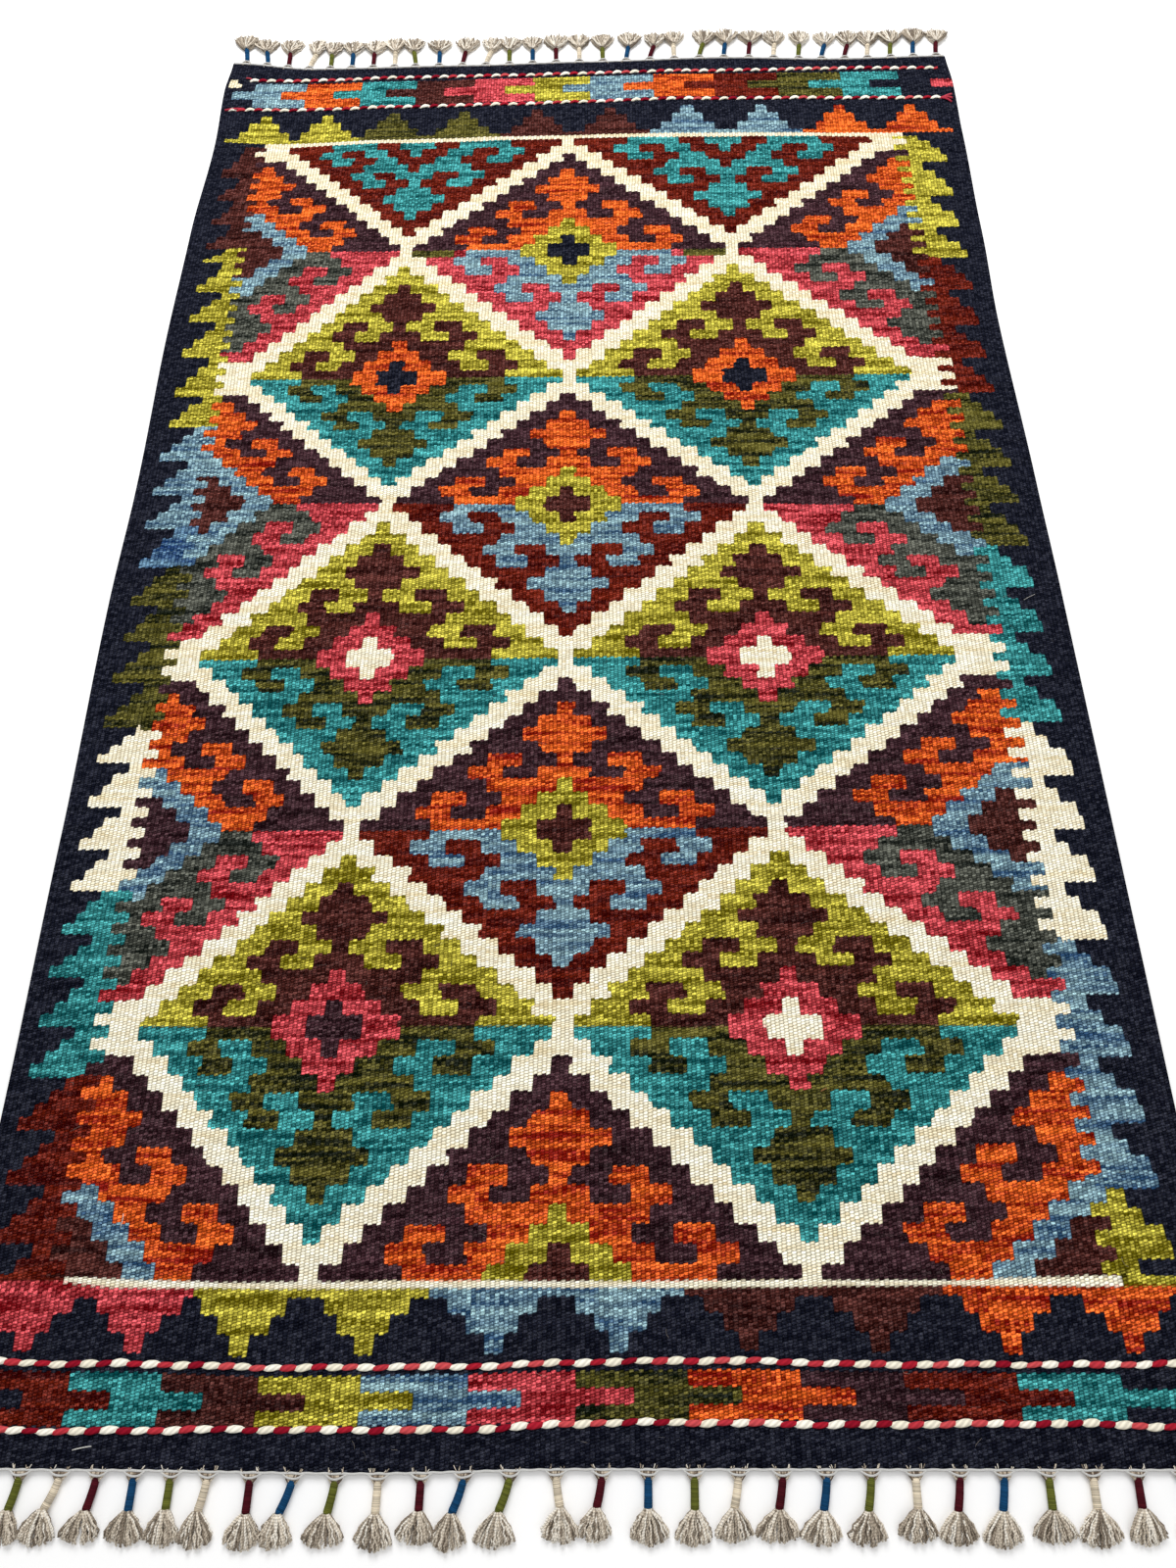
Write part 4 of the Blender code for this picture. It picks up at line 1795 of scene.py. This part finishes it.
@dataclass
class TwinedCord:
    """A row of cream and crimson yarns twined round each other across the face.

    Args:
        rug: where the weaver's places lie in the frame.
        run: the row.
        pitch: the length of one whole turn.
        swing: how far each yarn swings to either side.
        rise: how far it rises over the warps.
        sink: how far it sinks between them.
        half_width: of a yarn.
        half_height: of a yarn.
        crimson_share: how fat the crimson yarn is beside the cream one.
        middle_height: where a yarn passes from one side to the other.
        ring_count: rings for each turn.
        sides: faces round a yarn.
        ripple_row: which row's ripple the cord follows.
        plumpness: a yarn's mean width, and how far it swings as the yarn rises and sinks.
        dive: how low a yarn has to be, from 1 to -1, for its tone to change.
        fatness: how thin and how fat the spun yarn gets.
        creams: tones of the first yarn.
        crimsons: tones of the second.
    """

    rug: RugMap
    run: CordRun
    pitch: float = 0.0240
    swing: float = 0.0005
    rise: float = 0.0020
    sink: float = 0.0014
    half_width: float = 0.0028
    half_height: float = 0.0012
    crimson_share: float = 0.86
    middle_height: float = 0.0027
    ring_count: int = 14
    sides: int = 8
    ripple_row: float = 2.0
    plumpness: tuple[float, float] = (0.70, 0.30)
    dive: float = -0.9
    fatness: tuple[float, float] = (0.86, 1.10)
    creams: tuple[Rgb, ...] = (Rgb(255, 250, 234), Rgb(244, 237, 216))
    crimsons: tuple[Rgb, ...] = (Rgb(172, 34, 50), Rgb(142, 22, 40), Rgb(206, 80, 84),
                                 Rgb(190, 56, 66))

    def build(self, material: Material) -> Object:
        """Build both yarns of the row.

        Args:
            material: the yarn's material.

        Returns:
            The cord's object.
        """
        strands = Strands()
        for number, (phase, dyes) in enumerate(((0.0, self.creams), (math.pi, self.crimsons))):
            self._yarn(strands, phase, dyes, number)
        return strands.finish(self.run.node.replace("twined_cord", "cord"), material)

    def _yarn(self, strands: Strands, phase: float, dyes: Sequence[Rgb], number: int) -> None:
        """Add one of the two yarns, which dives under the warps once in each turn.

        Args:
            strands: what it is added to.
            phase: where in its turn it starts.
            dyes: its tones.
            number: 0 for the cream yarn and 1 for the crimson one.
        """
        chance = random.Random(f"{self.run.node}{number}")
        length = self.run.end - self.run.start
        count = round(length / self.pitch * self.ring_count)
        mean_width, width_swing = self.plumpness
        rings, tones = [], []
        tone, fat = dyes[0], 1.0
        for step in range(count + 1):
            across = self.run.start + length * step / count
            turn = math.tau * step / self.ring_count + phase
            over = math.sin(turn)
            if over < self.dive:
                tone, fat = chance.choice(dyes), chance.uniform(*self.fatness)
            along = eased(self.run.line, across) + ROW_RIPPLE.at(across, self.ripple_row)
            rise = self.rise if over > 0 else self.sink
            place = self.rug.place(across, along - self.swing * math.cos(turn),
                                   self.middle_height + rise * over)
            width = self.half_width * fat * (mean_width + width_swing * over)
            width *= self.crimson_share if number else 1.0
            rings.append(Ring(place, width, self.half_height))
            tones.append(tone)
        strands.add(rings, self.sides, tones)


@dataclass(frozen=True)
class RugEnd:
    """One end of the rug and its tassels.

    Args:
        node: its CAD node.
        line: the cloth's end.
        outward: which way the tassels point, -1 or 1 along the rug.
        places: a few tassels' numbers, and their distances from the left edge.
        leans: a letter for each tassel, for how it leans.
        necks: the wraps' colours, one after another.
        first_neck: which of them the first tassel has.
        corner_neck: the first tassel's own wrap.
        stretch: how long its tassels are, against the usual.
        thread: half the thickness of the white thread along the cloth's end.
        fan: how much larger its brushes fan out than the near end's.
    """

    node: str
    line: tuple[Read, ...]
    outward: int
    places: tuple[Read, ...]
    leans: str
    necks: tuple[Rgb, ...]
    first_neck: int
    corner_neck: Rgb
    stretch: float = 1.0
    thread: float = 0.0007
    fan: float = 1.0

    def place(self, number: int) -> float:
        """A tassel's distance from the left edge."""
        numbers, distances = zip(*self.places)
        return float(np.interp(number, numbers, distances))

    def neck(self, number: int) -> Rgb:
        """The colour that a tassel's neck is wrapped in."""
        turn = (number + self.first_neck) % len(self.necks)
        return self.necks[turn] if number else self.corner_neck


OLIVE_WRAP = Rgb(98, 102, 44)
CREAM_WRAP = Rgb(222, 208, 184)
MAROON_WRAP = Rgb(76, 24, 32)
BLUE_WRAP = Rgb(26, 68, 106)
LEANS = {"L": -0.0085, "l": -0.0045, "u": -0.0005, "r": 0.0035, "R": 0.0070}
NEAR_END = RugEnd(
    "fringe_near", NEAR_EDGE, -1,
    (Read(0, 0.014), Read(3, 0.105), Read(7, 0.216), Read(13, 0.408), Read(18, 0.580),
     Read(30, 0.974)),
    "ullLluuluLluuLLrluullllulluuuru",
    (OLIVE_WRAP, CREAM_WRAP, MAROON_WRAP, BLUE_WRAP), 2, MAROON_WRAP, 0.93, 0.0010)
FAR_END = RugEnd(
    "fringe_far", FAR_EDGE, 1,
    (Read(0, 0.020), Read(8, 0.2585), Read(18, 0.586), Read(24, 0.794), Read(30, 0.986)),
    "lluRuuuulurRuuuuurRuRrrrrRRrrrr",
    (BLUE_WRAP, MAROON_WRAP, CREAM_WRAP, OLIVE_WRAP), 3, BLUE_WRAP, 1.20, 0.0014, 1.14)
YARN_TONES = (Rgb(230, 219, 202), Rgb(208, 196, 178), Rgb(180, 167, 150), Rgb(142, 129, 114),
              Rgb(244, 237, 224))
ROOT_TONES = (Rgb(176, 162, 144), Rgb(140, 126, 110), Rgb(104, 90, 78), Rgb(206, 194, 176))
EDGING_TONE = Rgb(250, 249, 246)


@dataclass
class Fringe:
    """An end's edging threads and tassels: gathered warps, wrapped necks and cut brushes.

    Args:
        rug: where the weaver's places lie in the frame.
        end: the end that it is on.

    The other fields are sizes of its parts, in metres or as shares of a part's own size.
    """

    rug: RugMap
    end: RugEnd

    # A root: warps gathered from the cloth's end into the neck
    root_strands: int = 11
    root_half_width: float = 0.0062
    root_length: float = 0.0050
    root_overlap: float = 0.002     # how far it runs on inside the neck
    root_half: float = 0.00085
    root_heights: tuple[float, float, float] = (0.0022, 0.0012, 0.0009)     # start, rise, arch
    root_gather: float = 0.6        # where it ends, as a share of the neck's half width
    root_curve: float = 1.4         # how late it turns in

    # A neck, wound with yarn
    neck_rings: int = 40
    neck_sides: int = 10
    neck_length: float = 0.0240
    neck_half: float = 0.0029
    neck_bow: float = 0.0875
    neck_swell: float = 0.10        # how much thicker it gets toward the brush
    neck_evenness: tuple[float, float] = (0.92, 1.03)
    wrap_relief: float = 0.035      # how far every second ring stands out
    wrap_light: tuple[float, float] = (0.80, 1.16)
    wound: float = 1.8              # how much finer its ribs are than a yarn's plies

    # A brush of cut yarns
    strand_count: int = 66
    strand_layers: int = 4
    strand_parts: int = 6           # straight parts of a yarn
    strand_sides: int = 4
    brush_length: float = 0.0246
    brush_reach: float = 0.0168     # how far to each side it may fan out
    brush_drift: float = 0.35       # how much farther than the neck it leans
    brush_arc: float = 0.24         # how much shorter its outer yarns are
    brush_start: tuple[float, float] = (0.001, 0.75)    # how far inside the neck, how wide
    brush_low: float = 0.0014
    brush_high: float = 0.0054      # how much higher its top layer lies
    brush_fall: float = 0.60        # how far its yarns sink toward their cut ends
    yarn_half: float = 0.00092
    yarn_taper: float = 0.15
    yarn_rest: float = 0.0009       # the height of a yarn that lies on the floor
    touch: float = 0.0022           # how far neighbouring brushes reach over each other

    # Cut warp ends on the cloth, and the two threads along its end
    cut_half: float = 0.00032
    edge_height: float = 0.0031
    edging_step: float = 0.0016
    edging_sides: int = 6
    smooth: float = 9.0             # how much finer the threads' ribs are than a yarn's plies
    loop: float = 0.0008            # half the thickness of the thread round the roots
    loop_out: float = 0.0034
    loop_rise: float = 0.0021
    loop_width: float = 1.25        # how wide its bulge is beside the root

    def __post_init__(self) -> None:
        """Start the end's own run of chance."""
        self.chance = random.Random(self.end.node)
        self.strands = Strands()
        self.neck_length *= self.end.stretch
        self.brush_length *= self.end.stretch

    def build(self, material: Material) -> Object:
        """Build the whole end as one piece.

        Args:
            material: the warp yarn's material.

        Returns:
            The piece.
        """
        tips = [self._tip(number) for number in range(len(self.end.leans))]
        for number, tip in enumerate(tips):
            before = tips[number - 1] if number else tip - WIDTH
            after = tips[number + 1] if number + 1 < len(tips) else tip + WIDTH
            left = min(self.brush_reach, (tip - before) / 2 + self.touch)
            right = min(self.brush_reach, (after - tip) / 2 + self.touch)
            self._root(number)
            neck = self._neck(number)
            self._brush(number, tip, left, right, neck)
            self._cut_ends(number)
        self._edging()
        return self.strands.finish(self.end.node.replace("fringe", "tassels"), material)

    def _tip(self, number: int) -> float:
        """Where the middle of a brush's cut end lies across."""
        lean = LEANS[self.end.leans[number]]
        return self.end.place(number) + lean * (1 + self.brush_drift)

    def _spot(self, across: float, out: float, height: float, base: float) -> Vector:
        """A place out from the cloth's end, which is read at the tassel's own base."""
        along = eased(self.end.line, base) + self.end.outward * out
        return self.rug.place(across, along, height)

    def _root(self, number: int) -> None:
        """Gather the warps from the cloth's end into the neck.

        Args:
            number: the tassel's number from the left edge.
        """
        middle = self.end.place(number)
        low, rise, arch = self.root_heights
        for step in range(self.root_strands):
            share = step / (self.root_strands // 2) - 1
            start = middle + share * self.root_half_width
            stop = middle + share * self.neck_half * self.root_gather
            rings = []
            for part in range(5):
                t = part / 4
                across = start + (stop - start) * t ** self.root_curve
                out = 0.0002 + (self.root_length + self.root_overlap) * t
                height = low + rise * t + arch * math.sin(math.pi * t)
                rings.append(Ring(self._spot(across, out, height, middle),
                                  self.root_half, self.root_half))
            self.strands.add(rings, self.strand_sides, [self.chance.choice(ROOT_TONES)])

    def _neck(self, number: int) -> float:
        """Wrap the neck, its turns standing out a little.

        Args:
            number: the tassel's number from the left edge.

        Returns:
            The neck's length.
        """
        middle = self.end.place(number)
        lean = LEANS[self.end.leans[number]]
        length = self.neck_length * self.chance.uniform(*self.neck_evenness)
        rings, tones = [], []
        for step in range(self.neck_rings + 1):
            t = step / self.neck_rings
            bow = self.neck_bow * math.sin(math.pi * t)
            light = self.chance.uniform(*self.wrap_light)
            tones.append(Rgb(*(round(part * light) for part in self.end.neck(number))))
            across = middle + lean * (t - bow)
            relief = self.wrap_relief if step % 2 else -self.wrap_relief
            swell = 1.0 + self.neck_swell * t + relief
            drawn_in = min(1.0, 0.75 + 2.5 * min(t, 1 - t))
            half = self.neck_half * swell * drawn_in
            rings.append(Ring(self._spot(across, self.root_length + length * t,
                                         self.neck_half + 0.0001, middle), half, half))
        self.strands.add(rings, self.neck_sides, tones, self.wound)
        return length

    def _brush(self, number: int, tip: float, left: float, right: float, neck: float) -> None:
        """Fan the cut yarns out from the neck.

        Args:
            number: the tassel's number from the left edge.
            tip: where the middle of the brush's cut end lies across.
            left: how far it may reach to the left of that.
            right: how far to the right.
            neck: the neck's length.
        """
        middle = self.end.place(number)
        neck_end = middle + LEANS[self.end.leans[number]]
        inside, start_width = self.brush_start
        out = self.root_length + neck - inside
        length = self.brush_length * self.end.fan * self.chance.uniform(0.92, 1.06)
        left *= self.end.fan * self.chance.uniform(0.80, 1.0)
        right *= self.end.fan * self.chance.uniform(0.80, 1.0)
        for strand in range(self.strand_count):
            layer = strand % self.strand_layers / (self.strand_layers - 1)
            share = self.chance.uniform(-1, 1)
            share = math.copysign(abs(share) ** 0.85, share)
            start = neck_end + share * self.neck_half * start_width
            reach = left if share < 0 else right
            stop = tip + share * reach * self.chance.uniform(0.92, 1.03)
            run = length * (1 - self.brush_arc * share ** 2) * self.chance.uniform(0.88, 1.03)
            kink = self.chance.uniform(0.0004, 0.0011)
            phase = self.chance.uniform(0, math.tau)
            waves = self.chance.uniform(15, 26)
            top = self.brush_low + self.brush_high * layer
            rings = []
            for part in range(self.strand_parts + 1):
                t = part / self.strand_parts
                spread = 1 - (1 - t) ** 1.6
                wander = kink * math.sin(phase + t * waves) * min(1.0, 2.2 * t)
                across = start + (stop - start) * spread + wander
                fall = 1 - self.brush_fall * t ** 2
                height = self.yarn_rest + (top - self.yarn_rest) * fall
                height += kink * 0.8 * math.cos(phase * 1.7 + t * waves)
                height = max(height, self.yarn_rest + 0.0001)
                half = self.yarn_half * (1.0 - self.yarn_taper * t)
                rings.append(Ring(self._spot(across, out + run * t, height, middle), half, half))
            self.strands.add(rings, self.strand_sides, [self.chance.choice(YARN_TONES)])

    def _cut_ends(self, number: int) -> None:
        """Small cut warp ends stand up on the cloth's edge beside each root.

        Args:
            number: the tassel's number from the left edge.
        """
        middle = self.end.place(number)
        for side in (-1, 1):
            for _end in range(self.chance.randint(2, 4)):
                start = middle + side * self.root_half_width * self.chance.uniform(0.55, 1.0)
                reach = self.chance.uniform(0.0015, 0.0045)
                drift = self.chance.uniform(-0.0022, 0.0022) + side * 0.0006
                rings = []
                for part in range(3):
                    t = part / 2
                    height = self.edge_height + 0.0012 * math.sin(t * 2.4)
                    rings.append(Ring(self._spot(start + drift * t, 0.0004 - reach * t,
                                                 height, middle), self.cut_half, self.cut_half))
                self.strands.add(rings, self.strand_sides, [self.chance.choice(YARN_TONES)])

    def _edging(self) -> None:
        """Run one white thread along the cloth's end and another round the roots."""
        left = eased(LEFT_WAVE, 0.0) + 0.001
        right = WIDTH - 0.004
        count = round((right - left) / self.edging_step)
        places = [self.end.place(number) for number in range(len(self.end.leans))]
        for out, bulge, rise, half in ((0.0003, 0.0, 0.0, self.end.thread),
                                       (0.0004, self.loop_out, self.loop_rise, self.loop)):
            rings = []
            for step in range(count + 1):
                across = left + (right - left) * step / count
                near = min(abs(across - place) for place in places)
                round_root = max(0.0, 1 - (near / (self.root_half_width * self.loop_width)) ** 2)
                wobble = 0.0002 * math.sin(across * 470)
                rings.append(Ring(self._spot(across, out + bulge * round_root ** 0.7 + wobble,
                                             THICKNESS + 0.0001 + rise * round_root,
                                             across), half, half))
            self.strands.add(rings, self.edging_sides, [EDGING_TONE], self.smooth)


class Stray(NamedTuple):
    """A loose bit of yarn on the face: where it starts and ends, its tone and half width."""

    across: float
    along: float
    to_across: float
    to_along: float
    tone: Rgb
    half: float


STRAYS = (
    Stray(0.111, 0.0120, 0.125, 0.0145, Rgb(240, 238, 232), 0.00035),
    Stray(0.119, 0.1700, 0.1195, 0.1810, Rgb(240, 238, 232), 0.00030),
    Stray(0.699, 0.2790, 0.704, 0.2815, Rgb(150, 108, 70), 0.00060),
    Stray(0.955, 0.7860, 0.968, 0.7930, Rgb(200, 196, 190), 0.00025),
    Stray(0.981, 1.6160, 0.995, 1.6230, Rgb(206, 84, 98), 0.00150),
    Stray(0.981, 1.6160, 0.995, 1.6145, Rgb(196, 70, 86), 0.00170),
    Stray(0.981, 1.6155, 0.993, 1.6065, Rgb(188, 60, 78), 0.00150),
    Stray(0.004, 1.6065, 0.030, 1.6090, Rgb(188, 60, 78), 0.00150),
    Stray(0.024, 1.6770, 0.034, 1.6720, Rgb(196, 76, 88), 0.00110),
)


@dataclass
class LooseFibres:
    """Hairs and bits of thread that lie loose on the face.

    Args:
        rug: where the weaver's places lie in the frame.
        hair_count: how many fine hairs.
        hair_half: half a hair's thickness.
        hair_lengths: the shortest and the longest hair.
        hair_bow: how far a hair may bow to either side.
        stray_bow: how far a bit of yarn bows.
        margin: how far in from the side edges the hairs start.
        ends: how near to the two ends they start.
        hair_tones: their tones.
        seed: the run of chance that lays them.
    """

    rug: RugMap
    hair_count: int = 420
    hair_half: float = 0.00009
    hair_lengths: tuple[float, float] = (0.004, 0.014)
    hair_bow: float = 0.002
    stray_bow: float = 0.0008
    margin: float = 0.02
    ends: tuple[float, float] = (0.012, 1.69)
    hair_tones: tuple[Rgb, ...] = (Rgb(120, 116, 116), Rgb(90, 92, 104), Rgb(170, 160, 150))
    seed: int = 41

    def build(self, material: Material) -> Object:
        """Build them as one piece.

        Args:
            material: the warp yarn's material.

        Returns:
            The piece.
        """
        strands = Strands()
        chance = random.Random(self.seed)
        for stray in STRAYS:
            self._curl(strands, stray, self.stray_bow)
        for _hair in range(self.hair_count):
            across = chance.uniform(self.margin, WIDTH - self.margin)
            along = LENGTH * chance.random() ** 1.3
            turn = chance.uniform(0, math.tau)
            length = chance.uniform(*self.hair_lengths)
            along = min(max(along, self.ends[0]), self.ends[1])
            stray = Stray(across, along, across + length * math.cos(turn),
                          along + length * math.sin(turn) * 0.6, chance.choice(self.hair_tones),
                          self.hair_half)
            self._curl(strands, stray, chance.uniform(-self.hair_bow, self.hair_bow))
        return strands.finish("loose_fibres", material)

    def _curl(self, strands: Strands, stray: Stray, bow: float) -> None:
        """Lay one bit down.

        Args:
            strands: what it is added to.
            stray: the bit.
            bow: how far it bows to one side.
        """
        rings = []
        for part in range(7):
            t = part / 6
            arch = math.sin(math.pi * t)
            across = stray.across + (stray.to_across - stray.across) * t + bow * arch
            along = stray.along + (stray.to_along - stray.along) * t + bow * 0.5 * arch
            place = self.rug.place(across, along, THICKNESS + stray.half * 0.8 + 0.0008 * arch)
            rings.append(Ring(place, stray.half, stray.half))
        strands.add(rings, 4, [stray.tone])


@dataclass(frozen=True)
class Studio:
    """A plain pale floor, soft light and the camera at the photo's own angle.

    Args:
        rug: where the weaver's places lie in the frame.
        camera_across: the camera's distance from the left edge.
        camera_along: from the near end.
        camera_height: over the rug's face.
        forward: the way that it looks.
        upward: the way that the picture's top points.
        lens: its focal length in millimetres.
        sensor: the width of its sensor in millimetres.
        world_light: the strength of the even light all round.
        floor_half: half the floor's side.
        floor_gap: how far it lies below the rug.
        floor_glow: its own light, which keeps it near white.
    """

    rug: RugMap
    camera_across: float = 0.5136
    camera_along: float = 0.0603
    camera_height: float = 1.0167
    forward: tuple[float, float, float] = (-0.01156, 0.45062, -0.89264)
    upward: tuple[float, float, float] = (0.00526, 0.89271, 0.45059)
    lens: float = 27.05
    sensor: float = 36.0
    world_light: float = 0.50
    floor_half: float = 6.0
    floor_gap: float = 0.0003
    floor_glow: float = 0.05

    def build(self) -> None:
        """Set the camera, the light and the floor."""
        self._camera()
        self._light("key", (-0.3, 1.7, 2.3), 1.8, 66.0)
        self._light("fill", (0.9, -1.6, 2.6), 2.6, 15.0)
        self._world()
        self._floor()
        bpy.context.scene.view_settings.view_transform = "Standard"

    def _camera(self) -> None:
        """Put the camera where the photo was taken from."""
        data = bpy.data.cameras.new("photo_camera")
        data.lens = self.lens
        data.sensor_width = self.sensor
        data.clip_start = 0.01
        camera = bpy.data.objects.new("photo_camera", data)
        back = -Vector(self.forward).normalized()
        right = Vector(self.upward).cross(back).normalized()
        upward = back.cross(right)
        turn = Matrix((right, upward, back)).transposed()
        place = self.rug.place(self.camera_across, self.camera_along,
                               self.camera_height + THICKNESS)
        camera.matrix_world = Matrix.Translation(place) @ turn.to_4x4()
        bpy.context.scene.collection.objects.link(camera)
        bpy.context.scene.camera = camera

    @staticmethod
    def _light(name: str, place: tuple[float, float, float], size: float, power: float) -> None:
        """Hang a soft square light that faces the rug's middle.

        Args:
            name: the light's name.
            place: where it hangs in the frame.
            size: its side.
            power: its power in watts.
        """
        data = bpy.data.lights.new(name, "AREA")
        data.size = size
        data.energy = power
        light = bpy.data.objects.new(name, data)
        light.location = place
        light.rotation_mode = "QUATERNION"
        light.rotation_quaternion = (-Vector(place)).to_track_quat("-Z", "Y")
        bpy.context.scene.collection.objects.link(light)

    def _world(self) -> None:
        """Fill the surroundings with even pale light."""
        world = bpy.data.worlds.new("studio")
        world.use_nodes = True
        background = world.node_tree.nodes["Background"]
        background.inputs["Color"].default_value = WHITE
        background.inputs["Strength"].default_value = self.world_light
        bpy.context.scene.world = world

    def _floor(self) -> None:
        """Lay the floor, a hair below the rug."""
        bm = bmesh.new()
        bmesh.ops.create_grid(bm, x_segments=1, y_segments=1, size=self.floor_half)
        bmesh.ops.translate(bm, verts=bm.verts[:], vec=(0.0, 0.0, -self.floor_gap))
        material = bpy.data.materials.new("pale_floor")
        material.use_nodes = True
        shader = material.node_tree.nodes["Principled BSDF"]
        for socket, value in (("Base Color", WHITE), ("Roughness", 0.9),
                              ("Specular IOR Level", 0.1), ("Emission Color", WHITE),
                              ("Emission Strength", self.floor_glow)):
            shader.inputs[socket].default_value = value
        link_mesh("floor", bm, material)


def settle(piece: Object, slot: Slot, *nodes: str) -> Object:
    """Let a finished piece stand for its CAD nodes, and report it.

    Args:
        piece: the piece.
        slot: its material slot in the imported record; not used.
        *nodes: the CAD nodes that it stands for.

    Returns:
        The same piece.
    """
    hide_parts(*nodes)
    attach(piece, "root")
    LOG.info("%s: %d faces", piece.name, len(piece.data.polygons))
    return piece


def main() -> None:
    """Build the rug and its studio."""
    logging.basicConfig(level=logging.INFO, format="%(name)s %(message)s")
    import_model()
    rug = RugMap.from_frame()
    beads = Beads().build()
    cloth = settle(WovenCloth(rug).build(beads), Slot.WOOL, "woven_cloth")
    cord_yarn = Finish("twined_yarn", 0.85, 0.0, 0.0004).plied(
        PliedYarn("cord_plies", 170.0, -3.0, 0.34).build())
    cords = [settle(TwinedCord(rug, run).build(cord_yarn), Slot.TWINE, run.node)
             for run in CORD_RUNS]
    warp_yarn = Finish("warp_yarn", 0.88, 0.0, 0.0003).plied(
        PliedYarn("warp_plies", 460.0, 1.0, 0.42).build())
    fringes = [settle(Fringe(rug, end).build(warp_yarn), Slot.WARP, end.node)
               for end in (NEAR_END, FAR_END)]
    fibres = LooseFibres(rug).build(warp_yarn)
    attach(fibres, "root")
    Studio(rug).build()


if __name__ == "__main__":
    main()
